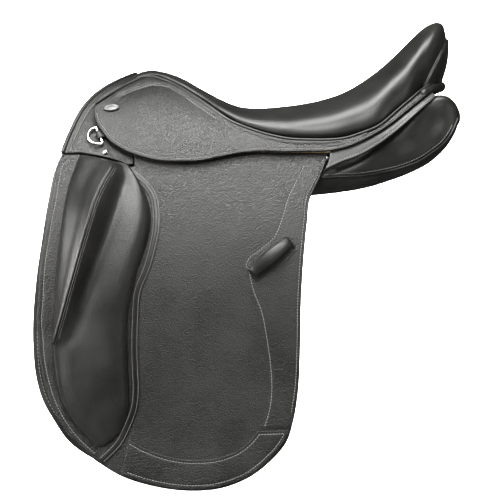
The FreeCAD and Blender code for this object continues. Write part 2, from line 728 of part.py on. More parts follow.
SWEAT = (0.0, dim("sweat_flap_thickness"))
FACING = (10.0, 10.0 + dim("facing_thickness"))
FLAP = (dim("flap_offset"), dim("flap_offset") + dim("flap_thickness"))
TRIM = (FLAP[1] + GAP / 2, FLAP[1] + GAP / 2 + dim("trim_thickness"))
SKIRT = (dim("skirt_offset"), dim("skirt_offset") + dim("skirt_thickness"))
STRAP = (dim("strap_offset"), dim("strap_offset") + dim("strap_thickness"))
BINDING = (SKIRT[0] - 4.0, SKIRT[0] - 1.0)
POCKET = (-5.0, -3.0)

FLAP_EDGE = [
    (-227, 54), (-233, 46), (-240, 21), (-249, -31), (-257, -83), (-260, -134), (-260, -186), (-253, -238),
    (-233, -289), (-213, -316), (-186, -341), (-155, -360), (-116, -373), (-65, -380), (-26, -377),
    (13, -362), (39, -342), (61, -315), (72, -280), (77, -240), (79, -186), (79, -134), (82, -83),
    (87, -31), (90, -5), (102, 21), (111.5, 45),
]
FLAP_TOP = [
    (112.5, 57), (-136.8, 57), (-136.8, 39.2), (-145, 38.5), (-155, 43), (-168, 47), (-181, 50), (-207, 54.5),
]
flap = layer("Flap", outline_face(FLAP_EDGE, FLAP_TOP), *FLAP)
both_sides("flap", flap)

SWEAT_EDGE = [
    (-231, 56), (-240, 34), (-248, -5), (-256, -57), (-263, -108), (-267, -160), (-267, -192),
    (-262, -238), (-254, -264), (-240, -289), (-222, -315), (-187, -340), (-155, -354), (-116, -364),
    (-65, -370),
    (-26, -366), (12, -350), (36, -328), (56, -300), (66, -260), (70, -186), (72, -83), (80, -5), (92, 30),
    (98, 56),
]
both_sides("sweat_flap", layer("SweatFlap", outline_face(SWEAT_EDGE, []), *SWEAT))

FACING_EDGE = [
    (-230, 61), (-220, 85), (-207, 111), (-194, 128), (-181, 139), (-168, 147), (-155, 155), (-138, 161),
    (-134.5, 168),
]
FACING_BACK = [
    (-134.5, 120), (-153, 100), (-153, 64), (-138, 62), (-138, 41), (-145, 41), (-155, 45.5), (-168, 49.5),
    (-181, 52.5), (-207, 57),
]
facing = layer("Facing", outline_face(FACING_EDGE, FACING_BACK), *FACING)
node("pommel_facing", boolean("Fuse", "PommelFacing", facing, mirrored("FacingRight", facing)))

FOLD = [(-189, 105), (28, 59)]
FOLD_GAP = 1.0
seam_under = [(x, z - WELT_GAP) for x, z in SEAM]
skirt_low = [
    (28, 59), (58, 57.5), (77, 58), (116, 59), (142, 65), (168, 77), (194, 93), (220, 114), (250, 139),
]


def skirt_face():
    """Outline of the fixed skirt: seam above, fold line and rear lower edge below."""
    upper = spline([at_side(*p) for p in seam_under])
    lower = spline([at_side(*p) for p in skirt_low])
    ends = [
        Part.LineSegment(Vector(250, 0, 139), Vector(252, 0, seam_under[-1][1])).toShape(),
        Part.LineSegment(Vector(FOLD[0][0], 0, FOLD[0][1]), Vector(28, 0, 59)).toShape(),
        Part.LineSegment(Vector(FOLD[0][0], 0, FOLD[0][1]), Vector(-187, 0, seam_under[0][1])).toShape(),
    ]
    return Part.Face(Part.Wire(Part.__sortEdges__([upper, lower, *ends])))


both_sides("skirt", layer("Skirt", skirt_face(), *SKIRT))
LOBE_EDGE = [
    (-188.5, 105 - FOLD_GAP), (-187, 97), (-177, 81), (-168, 71), (-155, 63), (-129, 53), (-103, 47),
    (-77, 45),
    (-52, 46), (-26, 51), (0, 57), (18, 59.5),
]
both_sides("skirt_lobe", layer("SkirtLobe", outline_face(LOBE_EDGE, [(20, 60.7 - FOLD_GAP)]), *SKIRT))
binding_top = [(116, 58), (142, 70), (168, 82), (194, 98), (220, 119), (246, 142)]
binding_low = [(109, 33.5), (129, 43), (155, 53), (181, 68), (207, 88), (233, 111), (256, 131)]


def binding_face():
    """Outline of the strip under the rear edge of the skirt."""
    upper = spline([at_side(*p) for p in binding_top])
    lower = spline([at_side(*p) for p in binding_low])
    ends = [
        *polyline([at_side(116, 58), at_side(114.5, 47), at_side(109, 33.5)]),
        Part.LineSegment(Vector(246, 0, 142), Vector(256, 0, 131)).toShape(),
    ]
    return Part.Face(Part.Wire(Part.__sortEdges__([upper, lower, *ends])))


both_sides("skirt_binding", layer("SkirtBinding", binding_face(), *BINDING))

POCKET_EDGE = [(-211, 58), (-213, 30), (-209, 2), (-188, -10), (-167, 2), (-163, 30), (-163, 58)]
pocket = layer("PointPocket", outline_face(POCKET_EDGE, []), *POCKET)
node("point_pockets", grouped("PointPockets", pocket, mirrored("PointPocketRight", pocket)))

WELT_RADIUS = 1.9


def on_side(x, z, offset):
    return (x, side_y(z, offset), z)


welt_spine = spline([on_side(x, z, SEAM_OFFSET + 1.5) for x, z in SEAM])
both_sides("seat_welt", swept("SeatWelt", welt_spine, WELT_RADIUS))

# ---- girth straps ---------------------------------------------------------------------------------

STRAP_TOP, STRAP_LOW = 65.0, -300.0
STRAP_HOLE_LOW = -280.0
STRAP_HOLES = 6
for name, middle in STRAP_X.items():
    half = dim("strap_width") / 2
    tip = [(middle - half, STRAP_LOW + 12), (middle, STRAP_LOW), (middle + half, STRAP_LOW + 12)]
    face = outline_face(tip, [(middle + half, STRAP_TOP), (middle - half, STRAP_TOP)])
    strap = layer("Strap" + name.title(), face, *STRAP)
    punches = []
    for number in range(STRAP_HOLES):
        z = STRAP_HOLE_LOW + number * dim("strap_hole_pitch")
        punches.append(cylinder(
            f"Punch{name}{number}", "$strap_hole_radius", "40",
            Vector(middle, -dim("half_width") + 10, z), Vector(0, -1, 0),
        ))
    both_sides("girth_strap_" + name, drilled("Strap" + name.title() + "Punched", strap, punches))

# ---- trims on the flap ----------------------------------------------------------------------------

PATCH_TOP = [
    (-141, -316), (-129, -322), (-103, -333), (-77, -339), (-52, -340), (-26, -337), (0, -326), (13, -315),
    (23, -303),
]
patch_low = [
    (62, -303), (58, -314), (37, -339), (12, -359), (-27, -374), (-65, -377), (-115, -370), (-150, -359),
]
patch_face = Part.Face(Part.Wire(Part.__sortEdges__([
    spline([at_side(*p) for p in PATCH_TOP]),
    *polyline([at_side(*PATCH_TOP[-1]), at_side(*patch_low[0])]),
    spline([at_side(*p) for p in patch_low]),
    *polyline([at_side(*patch_low[-1]), at_side(*PATCH_TOP[0])]),
])))
both_sides("flap_patch", layer("FlapPatch", patch_face, *TRIM))

BAND_EDGE = [
    (-139, 36), (-129, 29), (-113, 13), (-106, 0), (-103.5, -15), (-103.5, -44), (-107, -63), (-115, -93),
    (-127, -124), (-130, -160), (-130, -225), (-129, -244), (-132, -276), (-142, -302), (-147, -314),
]
BAND_WIDTH = 10.5


def parallel(points, distance):
    """A line beside another one, at a distance to its left as it runs."""
    moved = []
    for k, (x, z) in enumerate(points):
        x0, z0 = points[max(k - 1, 0)]
        x1, z1 = points[min(k + 1, len(points) - 1)]
        length = math.hypot(x1 - x0, z1 - z0)
        moved.append((x - distance * (z1 - z0) / length, z + distance * (x1 - x0) / length))
    return moved


def ribbon_face(points, width):
    """Face between a line and its parallel."""
    other = parallel(points, width)
    return Part.Face(Part.Wire(Part.__sortEdges__([
        spline([at_side(*p) for p in points]),
        spline([at_side(*p) for p in other]),
        *polyline([at_side(*points[0]), at_side(*other[0])]),
        *polyline([at_side(*points[-1]), at_side(*other[-1])]),
    ])))


both_sides("flap_band", layer("FlapBand", ribbon_face(BAND_EDGE, -BAND_WIDTH), *TRIM))
FACE_LINE = [
    (81, 40), (71, 20), (59, -3), (51, -30), (40, -52), (24, -64), (10, -78), (6, -90), (14, -121),
    (25, -150),
    (32, -186), (37, -225), (38, -250), (35, -276), (28, -299),
]
face_rear = [
    (64, -299), (72, -262), (75, -186), (75, -134), (78, -83), (83, -31), (86, -5), (98, 21), (107, 42),
]
rear_face = Part.Face(Part.Wire(Part.__sortEdges__([
    spline([at_side(*p) for p in FACE_LINE]),
    *polyline([at_side(*FACE_LINE[-1]), at_side(*face_rear[0])]),
    spline([at_side(*p) for p in face_rear]),
    *polyline([at_side(*face_rear[-1]), at_side(*FACE_LINE[0])]),
])))
both_sides("flap_facing", layer("FlapFacing", rear_face, *TRIM))

# ---- knee block -----------------------------------------------------------------------------------

# height, front edge, crest and rear edge in x, height of the crest over the flap
BLOCK_LINE = [
    (52, -212, -207, -203, 1.5), (43, -216, -190, -170, 4), (34, -219, -174, -153, 9),
    (20, -223, -176, -139, 17),
    (0, -228, -183, -126, 28), (-24, -231, -190, -119, 36), (-60, -235, -202, -123, 41),
    (-100, -238, -213, -134, 43),
    (-140, -240, -224, -143, 42), (-180, -241, -231, -144, 40), (-220, -239, -226, -143, 35),
    (-257, -233, -213, -142, 27),
    (-287, -217, -195, -149, 18), (-310, -199, -184, -162, 9), (-322, -188, -180, -172, 3),
]
BLOCK_BASE = TRIM[0] + 0.3


def block_wire(z, front, crest, rear, height, inset):
    """Horizontal section of the knee block: flat on the flap, steep in front, easier behind."""
    base = side_y(z, BLOCK_BASE)
    span = rear - front
    inset = min(inset, 0.3 * height)
    run = min(inset, 0.12 * span)
    front, rear = front + run, rear - run
    height -= inset
    points = [
        (front, base, z), (front + 0.25 * (crest - front), base - 0.62 * height, z),
        (crest, base - height, z), (crest + 0.35 * (rear - crest), base - 0.84 * height, z),
        (crest + 0.75 * (rear - crest), base - 0.52 * height, z), (rear, base, z),
    ]
    base_edge = Part.LineSegment(Vector(*points[-1]), Vector(*points[0])).toShape()
    return Part.Wire([spline(points), base_edge])


def block_loft(name, inset, rows):
    return loft(name, [block_wire(*row, inset) for row in rows], ruled=True)


BLOCK_LEATHER = 2.0
block_outer = block_loft("BlockOuter", 0.0, BLOCK_LINE)
block_inner = block_loft("BlockInner", BLOCK_LEATHER, BLOCK_LINE[1:-1])
both_sides("knee_block_cover", boolean("Cut", "KneeBlockCover", block_outer, block_inner))
foam_rows = BLOCK_LINE[2:-2]
both_sides("knee_block_foam", block_loft("KneeBlockFoam", BLOCK_LEATHER + 1.0, foam_rows))

PIPING_RADIUS = 1.8
piping_points = [
    (crest, side_y(z, BLOCK_BASE) - height - PIPING_RADIUS - 1.4, z)
    for z, front, crest, rear, height in BLOCK_LINE[3:11]
]
both_sides("knee_block_piping", swept("KneeBlockPiping", spline(piping_points), PIPING_RADIUS))

# ---- keeper ---------------------------------------------------------------------------------------

KEEPER_ROLL = -38.0
keeper_place = side_frame(40, -80, TRIM[1] + 0.9, KEEPER_ROLL)


def keeper_face():
    """Bow of the keeper in its own frame: feet flat on the flap, the middle raised."""
    half, foot, rise, thick = dim("keeper_length") / 2, 8.0, dim("keeper_gap"), dim("keeper_thickness")
    under = [Vector(-half + foot, 0, 0), Vector(0, -rise, 0), Vector(half - foot, 0, 0)]
    over = [Vector(half - foot, -thick, 0), Vector(0, -rise - thick, 0), Vector(-half + foot, -thick, 0)]
    edges = [
        Part.Arc(*under).toShape(),
        Part.Arc(*over).toShape(),
        *polyline([over[0], (half, -thick, 0), (half, 0, 0), under[2]]),
        *polyline([over[2], (-half, -thick, 0), (-half, 0, 0), under[0]]),
    ]
    return Part.Face(Part.Wire(Part.__sortEdges__(edges)))


keeper = extrusion("Keeper", keeper_face(), Vector(0, 0, 1), "$keeper_width")
keeper.Placement = keeper_place.multiply(
    FreeCAD.Placement(Vector(0, 0, -dim("keeper_width") / 2), FreeCAD.Rotation())
)
both_sides("keeper", keeper)

# ---- dee rings, nails, badges ---------------------------------------------------------------------

DEE_OFFSET = 17.6
DEE_LEG = (-182.5, 79)
DEE_LEAN = -20.0
dee_place = side_frame(*DEE_LEG, DEE_OFFSET, DEE_LEAN)
half_leg, depth = dim("dee_length") / 2, dim("dee_depth")
dee_bow = Part.Arc(Vector(0, 0, half_leg), Vector(-depth, 0, 0), Vector(0, 0, -half_leg)).toShape()
bow = swept("DeeBow", dee_bow, dim("dee_wire_radius"))
bow.Placement = dee_place
leg = local_rod("DeeLeg", "$dee_wire_radius", "$dee_length", Vector(0, 0, -half_leg), UP, dee_place)
dee_corners = []
for end in (1, -1):
    ball = doc.addObject("Part::Sphere", f"DeeCorner{end + 1}")
    bind(ball, "Radius", "$dee_wire_radius")
    ball.Placement = dee_place.multiply(FreeCAD.Placement(Vector(0, 0, end * half_leg), FreeCAD.Rotation()))
    dee_corners.append(ball)
dee_ring = boolean("Fuse", "DeeRing", bow, leg, *dee_corners)
both_sides("dee_ring", dee_ring)

CHAPE_WIDTH = 11.0
CHAPE_RADIUS = dim("dee_wire_radius") + 0.3 + 1.5
chape_foot = -CHAPE_WIDTH / 2
chape_start = Vector(0, 0, chape_foot)
chape_loop = local_rod("ChapeLoop", str(CHAPE_RADIUS), str(CHAPE_WIDTH), chape_start, UP, dee_place)
chape_tail = local_box("ChapeTail", 0, CHAPE_RADIUS - 1.6, chape_foot, "24", "1.6", str(CHAPE_WIDTH), dee_place)
chape_hole = local_rod("ChapeHole", "$dee_wire_radius + 0.3", "40", Vector(0, 0, -20), UP, dee_place)
chape = drilled("DeeChape", boolean("Fuse", "ChapeBlank", chape_loop, chape_tail), [chape_hole])
node("dee_chapes", grouped("DeeChapes", chape, mirrored("DeeChapeRight", chape)))

NAIL_SPOT = (-174, 57.5)
nail_place = side_frame(*NAIL_SPOT, FACING[1] + 0.1)
nail = doc.addObject("Part::Sphere", "SaddleNail")
bind(nail, "Radius", "$nail_radius")
nail.Placement = nail_place.multiply(FreeCAD.Placement(Vector(0, 2.2, 0), FreeCAD.Rotation()))
nail_room = local_box("NailRoom", -8, -8, -8, "16", "8", "16", nail_place)
nail_head = boolean("Common", "SaddleNailHead", nail, nail_room)
node("saddle_nails", grouped("SaddleNails", nail_head, mirrored("SaddleNailRight", nail_head)))

BADGE_SPOT = (-167, 114)
badge_place = side_frame(*BADGE_SPOT, SKIRT[1] + 0.6, -8.0)
badge = doc.addObject("Part::Ellipse", "BadgeOutline")
bind(badge, "MajorRadius", "$badge_length / 2")
bind(badge, "MinorRadius", "$badge_width / 2")
badge_facing = FreeCAD.Rotation(Vector(1, 0, 0), 90)
badge.Placement = badge_place.multiply(FreeCAD.Placement(Vector(0, 0, 0), badge_facing))
badge_solid = doc.addObject("Part::Extrusion", "Badge")
badge_solid.Base = badge
badge_solid.DirMode = "Custom"
badge_solid.Dir = badge_place.Rotation.multVec(Vector(0, -1, 0))
bind(badge_solid, "LengthFwd", "$badge_thickness")
badge_solid.Solid = True
node("skirt_badges", grouped("SkirtBadges", badge_solid, mirrored("BadgeRight", badge_solid)))

# ---- finish ---------------------------------------------------------------------------------------

doc.recompute()
faulty = [thing.Name for thing in doc.Objects if not thing.isValid() or "Invalid" in thing.State]
for label, thing in NODES.items():
    if thing.Shape.isNull() or not thing.Shape.isValid() or not thing.Shape.Solids:
        faulty.append(label)
if faulty:
    raise RuntimeError("faulty objects: " + ", ".join(faulty))
os.makedirs("parts", exist_ok=True)
for label, thing in NODES.items():
    thing.Shape.exportStep(f"parts/{label}.step")
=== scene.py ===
import math

import bpy
import numpy as np
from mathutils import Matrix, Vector, geometry


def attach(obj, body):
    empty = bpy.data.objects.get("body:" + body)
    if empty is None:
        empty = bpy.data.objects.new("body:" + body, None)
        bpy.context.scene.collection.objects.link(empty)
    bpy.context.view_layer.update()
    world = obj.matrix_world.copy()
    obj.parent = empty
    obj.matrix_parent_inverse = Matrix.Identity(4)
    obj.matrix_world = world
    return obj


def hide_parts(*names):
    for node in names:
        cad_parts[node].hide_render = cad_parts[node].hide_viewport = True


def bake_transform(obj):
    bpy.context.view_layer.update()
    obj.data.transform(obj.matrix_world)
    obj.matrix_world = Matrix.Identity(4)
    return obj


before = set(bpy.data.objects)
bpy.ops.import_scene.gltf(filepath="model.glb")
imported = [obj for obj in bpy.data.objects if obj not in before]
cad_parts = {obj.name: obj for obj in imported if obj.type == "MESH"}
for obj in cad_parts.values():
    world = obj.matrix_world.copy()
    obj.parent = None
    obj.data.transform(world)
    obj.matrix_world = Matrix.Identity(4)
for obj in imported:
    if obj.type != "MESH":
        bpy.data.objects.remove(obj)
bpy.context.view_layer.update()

MM = 0.001
SIDES = (("left", 1), ("right", -1))

# ---- curves ---------------------------------------------------------------------------------------


def smooth(points, per=8, closed=False):
    """Curve through points by blended parabolas, which never overshoots far."""
    p = np.array(points, float)
    n = len(p)
    out = []
    spans = range(n if closed else n - 1)
    for k in spans:
        p0 = p[(k - 1) % n] if closed or k > 0 else 2 * p[0] - p[1]
        p1, p2 = p[k], p[(k + 1) % n]
        p3 = p[(k + 2) % n] if closed or k < n - 2 else 2 * p[-1] - p[-2]
        d0, d1, d2 = (max(1e-6, float(np.linalg.norm(b - a))) for a, b in ((p0, p1), (p1, p2), (p2, p3)))
        m1 = ((p1 - p0) / d0 * d1 + (p2 - p1) / d1 * d0) / (d0 + d1) * d1
        m2 = ((p2 - p1) / d1 * d2 + (p3 - p2) / d2 * d1) / (d1 + d2) * d1
        for s in np.linspace(0, 1, per, endpoint=False):
            h = (2 * s**3 - 3 * s**2 + 1, s**3 - 2 * s**2 + s, -2 * s**3 + 3 * s**2, s**3 - s**2)
            out.append(h[0] * p1 + h[1] * m1 + h[2] * p2 + h[3] * m2)
    if not closed:
        out.append(p[-1])
    return np.array(out)


def lengths(path):
    return np.concatenate([[0], np.cumsum(np.linalg.norm(np.diff(path, axis=0), axis=1))])


def resample(path, step):
    """Equal steps along a path."""
    path = np.array(path, float)
    s = lengths(path)
    count = max(2, int(round(s[-1] / step)) + 1)
    at = np.linspace(0, s[-1], count)
    return np.stack([np.interp(at, s, path[:, i]) for i in range(path.shape[1])], axis=1)


def run(*legs, step=3.0):
    """One line from curves joined at corners."""
    out = []
    for leg in legs:
        line = resample(smooth(leg), step) if len(leg) > 2 else resample(np.array(leg, float), step)
        if out and np.linalg.norm(out[-1][-1] - line[0]) < 0.05:
            line = line[1:]
        out.append(line)
    return np.vstack(out)


def beside(path, distance):
    """Parallel of a 2-D path; a positive distance lies to the left as it runs."""
    path = np.array(path, float)
    tangent = np.gradient(path, axis=0)
    tangent /= np.maximum(1e-9, np.linalg.norm(tangent, axis=1))[:, None]
    return path + distance * np.stack([-tangent[:, 1], tangent[:, 0]], axis=1)


def inside(points, polygon):
    """Which points lie inside a closed 2-D polygon."""
    x, y = points[:, 0], points[:, 1]
    result = np.zeros(len(points), bool)
    q = np.roll(polygon, -1, axis=0)
    for (x0, y0), (x1, y1) in zip(polygon, q):
        if y0 == y1:
            continue
        crosses = ((y0 > y) != (y1 > y)) & (x < (x1 - x0) * (y - y0) / (y1 - y0) + x0)
        result ^= crosses
    return result


def distance_to(points, path):
    """Distance from each point to a polyline."""
    best = np.full(len(points), 1e9)
    for a, b in zip(path[:-1], path[1:]):
        d = b - a
        t = np.clip(((points - a) @ d) / max(1e-9, d @ d), 0, 1)
        best = np.minimum(best, np.linalg.norm(points - a - t[:, None] * d, axis=1))
    return best


# ---- the side curve that every hanging layer follows ----------------------------------------------

HALF_WIDTH, BARREL_Z, BARREL_R, SHOULDER_R = 180.0, -150.0, 400.0, 200.0
SHOULDER_A = math.radians(32)
BARREL_Y = BARREL_R - HALF_WIDTH
SHOULDER_Y = BARREL_Y - (BARREL_R - SHOULDER_R) * math.cos(SHOULDER_A)
SHOULDER_Z = BARREL_Z + (BARREL_R - SHOULDER_R) * math.sin(SHOULDER_A)


def side(z, offset):
    """Y and slope of the side curve, moved outwards by offset, at heights z."""
    z = np.asarray(z, float)
    offset = np.asarray(offset, float)
    low = np.arcsin(np.clip((z - BARREL_Z) / (BARREL_R + offset), 0, 1))
    high = np.arcsin(np.clip((z - SHOULDER_Z) / (SHOULDER_R + offset), 0, 1))
    angle = np.where(low > SHOULDER_A, high, low)
    y = np.where(
        low > SHOULDER_A,
        SHOULDER_Y - (SHOULDER_R + offset) * np.cos(angle),
        BARREL_Y - (BARREL_R + offset) * np.cos(angle),
    )
    return y, angle


def on_side(xz, offset, ref=None):
    """3-D points over a 2-D outline that lies on the side curve at offset ref, and their outward normals."""
    xz = np.array(xz, float)
    offset = np.broadcast_to(np.asarray(offset, float), (len(xz),))
    ref = offset if ref is None else np.full(len(xz), float(ref))
    x, z = xz[:, 0], xz[:, 1]
    low = np.arcsin(np.clip((z - BARREL_Z) / (BARREL_R + ref), 0, 1))
    high = np.arcsin(np.clip((z - SHOULDER_Z) / (SHOULDER_R + ref), 0, 1))
    angle = np.where(low > SHOULDER_A, high, low)
    on_shoulder = low > SHOULDER_A
    radius = np.where(on_shoulder, SHOULDER_R, BARREL_R) + offset
    y = np.where(on_shoulder, SHOULDER_Y, BARREL_Y) - radius * np.cos(angle)
    zz = np.where(on_shoulder, SHOULDER_Z, BARREL_Z) + radius * np.sin(angle)
    zz = np.where(z <= BARREL_Z, z, zz)
    points = np.stack([x, y, zz], axis=1)
    normals = np.stack([np.zeros(len(xz)), -np.cos(angle), np.sin(angle)], axis=1)
    return points, normals


# ---- meshes ---------------------------------------------------------------------------------------

COLLECTION = bpy.context.scene.collection
MATERIALS = {}


def mesh_object(name, verts, faces, material, flip=False):
    mesh = bpy.data.meshes.new(name)
    if flip:
        faces = [tuple(reversed(f)) for f in faces]
    mesh.from_pydata([tuple(v) for v in verts], [], [tuple(int(i) for i in f) for f in faces])
    mesh.validate()
    mesh.update()
    mesh.polygons.foreach_set("use_smooth", [True] * len(mesh.polygons))
    obj = bpy.data.objects.new(name, mesh)
    COLLECTION.objects.link(obj)
    obj.data.materials.append(MATERIALS[material])
    return obj


class Piece:
    """Vertices and faces in millimetres, on the left side of the saddle or across it."""

    def __init__(self):
        self.verts = np.zeros((0, 3))
        self.faces = []

    def add(self, verts, faces):
        base = len(self.verts)
        self.verts = np.vstack([self.verts, np.array(verts, float).reshape(-1, 3)])
        self.faces += [tuple(i + base for i in f) for f in faces]
        return self

    def grid(self, rows, closed_across=False, flip=False):
        """A net of points, rows by columns."""
        rows = np.array(rows, float)
        n, m = rows.shape[:2]
        faces = []
        for i in range(n - 1):
            for j in range(m if closed_across else m - 1):
                a, b = i * m + j, i * m + (j + 1) % m
                c, d = (i + 1) * m + (j + 1) % m, (i + 1) * m + j
                faces.append((a, d, c, b) if flip else (a, b, c, d))
        return self.add(rows.reshape(-1, 3), faces)

    def make(self, name, material, sign=1):
        verts = self.verts * MM * np.array([1, sign, 1])
        return mesh_object(name, verts, self.faces, material, flip=sign < 0)


def frames(path):
    """Two unit vectors across a path at each of its points, without twist."""
    path = np.array(path, float)
    tangent = np.gradient(path, axis=0)
    tangent /= np.maximum(1e-9, np.linalg.norm(tangent, axis=1))[:, None]
    start = np.array([0, 0, 1.0]) if abs(tangent[0][2]) < 0.8 else np.array([0, 1.0, 0])
    u = np.cross(tangent[0], start)
    u /= np.linalg.norm(u)
    us = [u]
    for t in tangent[1:]:
        u = u - t * (u @ t)
        u /= np.linalg.norm(u)
        us.append(u)
    us = np.array(us)
    return us, np.cross(tangent, us), tangent


def tube(piece, path, radius, sides=10):
    """A round cord. Its ends are domed."""
    path = np.array(path, float)
    u, v, t = frames(path)
    radii = np.broadcast_to(np.asarray(radius, float), (len(path),))
    turn = np.linspace(0, 2 * math.pi, sides, endpoint=False)
    rings = [
        p + r * (np.cos(turn)[:, None] * a + np.sin(turn)[:, None] * b)
        for p, r, a, b in zip(path, radii, u, v)
    ]
    for end, sign in ((0, -1), (-1, 1)):
        p, r, a, b, d = path[end], radii[end], u[end], v[end], t[end]
        caps = []
        for lift in (0.5, 0.86, 0.999):
            across = math.sqrt(1 - lift * lift)
            circle = np.cos(turn)[:, None] * a + np.sin(turn)[:, None] * b
            caps.append(p + sign * lift * r * d + across * r * circle)
        rings = [*reversed(caps), *rings] if end == 0 else [*rings, *caps]
    base = len(piece.verts)
    piece.grid(rings, closed_across=True)
    last = base + (len(rings) - 1) * sides
    piece.faces.append(tuple(range(base, base + sides))[::-1])
    piece.faces.append(tuple(range(last, last + sides)))
    return piece


EDGE_STEPS = 4


def sheet(outline, inner, outer, edge=None, cell=6.0, lines=(), relief=None, holes=()):
    """Leather cut to a 2-D outline and laid on the side curve between two offsets, its edges rounded.
    lines are (path, depth, width) grooves pressed into the outer face; relief(xz) lifts it."""
    outline = np.array(outline, float)
    if np.linalg.norm(outline[0] - outline[-1]) < 0.05:
        outline = outline[:-1]
    loops = [outline, *[np.array(h, float) for h in holes]]
    area = 0.5 * np.sum(outline[:, 0] * np.roll(outline[:, 1], -1) - outline[:, 1] * np.roll(outline[:, 0], -1))
    if area < 0:
        loops[0] = outline = outline[::-1]
    thick = outer - inner
    edge = min(edge or 0.5 * thick, 0.5 * thick)

    def shrunk(loop, amount):
        padded = np.vstack([loop[-1:], loop, loop[:1]])
        tangent = padded[2:] - padded[:-2]
        tangent /= np.maximum(1e-9, np.linalg.norm(tangent, axis=1))[:, None]
        return loop + amount * np.stack([-tangent[:, 1], tangent[:, 0]], axis=1)

    cores = [shrunk(loop, edge) for loop in loops]
    low, high = outline.min(0) + cell / 2, outline.max(0)
    gx, gz = np.meshgrid(np.arange(low[0], high[0], cell), np.arange(low[1], high[1], cell))
    gx = gx + (np.arange(gx.shape[0]) % 2)[:, None] * cell / 2
    grid = np.stack([gx.ravel(), gz.ravel()], axis=1)
    extra = [np.zeros((0, 2))]
    for path, _, width in lines:
        path = resample(path, 2.6)
        for shift in (-2 * width, -width, 0, width, 2 * width):
            extra.append(beside(path, shift))
    fine = np.vstack(extra)
    if len(fine):
        for path, _, width in lines:
            grid = grid[distance_to(grid, resample(path, 6.0)) > 2 * width + 1.5]
    grid = np.vstack([fine, grid])
    keep = inside(grid, cores[0])
    for loop in cores[1:]:
        keep &= ~inside(grid, loop)
    grid = grid[keep]
    grid = grid[distance_to(grid, np.vstack([cores[0], cores[0][:1]])) > 0.8]
    for loop in cores[1:]:
        grid = grid[distance_to(grid, np.vstack([loop, loop[:1]])) > 0.8]
    points = np.vstack([*cores, grid])
    edges, base = [], 0
    for loop in cores:
        n = len(loop)
        edges += [(base + i, base + (i + 1) % n) for i in range(n)]
        base += n
    verts2, _, faces2, *_ = geometry.delaunay_2d_cdt([Vector(p) for p in points], edges, [], 0, 1e-5)
    verts2 = np.array([tuple(v) for v in verts2])
    tris = np.array([f for f in faces2 if len(f) == 3])
    middle = verts2[tris].mean(axis=1)
    keep = inside(middle, cores[0])
    for loop in cores[1:]:
        keep &= ~inside(middle, loop)
    tris = tris[keep]
    a, b, c = verts2[tris[:, 0]], verts2[tris[:, 1]], verts2[tris[:, 2]]
    turn = (b[:, 0] - a[:, 0]) * (c[:, 1] - a[:, 1]) - (b[:, 1] - a[:, 1]) * (c[:, 0] - a[:, 0])
    tris[turn < 0] = tris[turn < 0][:, ::-1]

    def raised(xz):
        lift = np.zeros(len(xz))
        for path, depth, width in lines:
            d = distance_to(xz, resample(path, 2.6))
            lift -= depth * np.exp(-((d / (0.9 * width)) ** 2))
        if relief is not None:
            lift += relief(xz)
        return lift

    piece = Piece()
    top, _ = on_side(verts2, outer + raised(verts2), outer)
    bottom, _ = on_side(verts2, inner, outer)
    n2 = len(verts2)
    under_faces = [(n2 + t[2], n2 + t[1], n2 + t[0]) for t in tris]
    piece.add(np.vstack([top, bottom]), [tuple(t) for t in tris] + under_faces)
    nearest = []
    for core in cores:
        found = [int(np.argmin(np.sum((verts2 - p) ** 2, axis=1))) for p in core]
        nearest.append(found)
    for loop, found in zip(loops, nearest):
        n = len(loop)
        rows = []
        core_lift = raised(verts2[found])
        for step in range(1, 2 * EDGE_STEPS):
            angle = math.pi * step / (2 * EDGE_STEPS)
            inset = edge * (1 - math.sin(angle))
            if step <= EDGE_STEPS:
                level = outer - edge * (1 - math.cos(angle))
            else:
                level = inner + edge * (1 + math.cos(angle))
            share = 0.5 * (1 + math.cos(angle))
            rows.append(on_side(shrunk(loop, inset), level + core_lift * share, outer)[0])
        start = len(piece.verts)
        piece.verts = np.vstack([piece.verts, *rows])
        chain = [found, *[[start + k * n + i for i in range(n)] for k in range(len(rows))], [n2 + i for i in found]]
        for upper, lower in zip(chain, chain[1:]):
            for i in range(n):
                j = (i + 1) % n
                face = (upper[i], lower[i], lower[j], upper[j])
                piece.faces.append(tuple(dict.fromkeys(face)))
    piece.faces = [f for f in piece.faces if len(f) > 2]
    return piece


STITCH_PITCH = 3.7


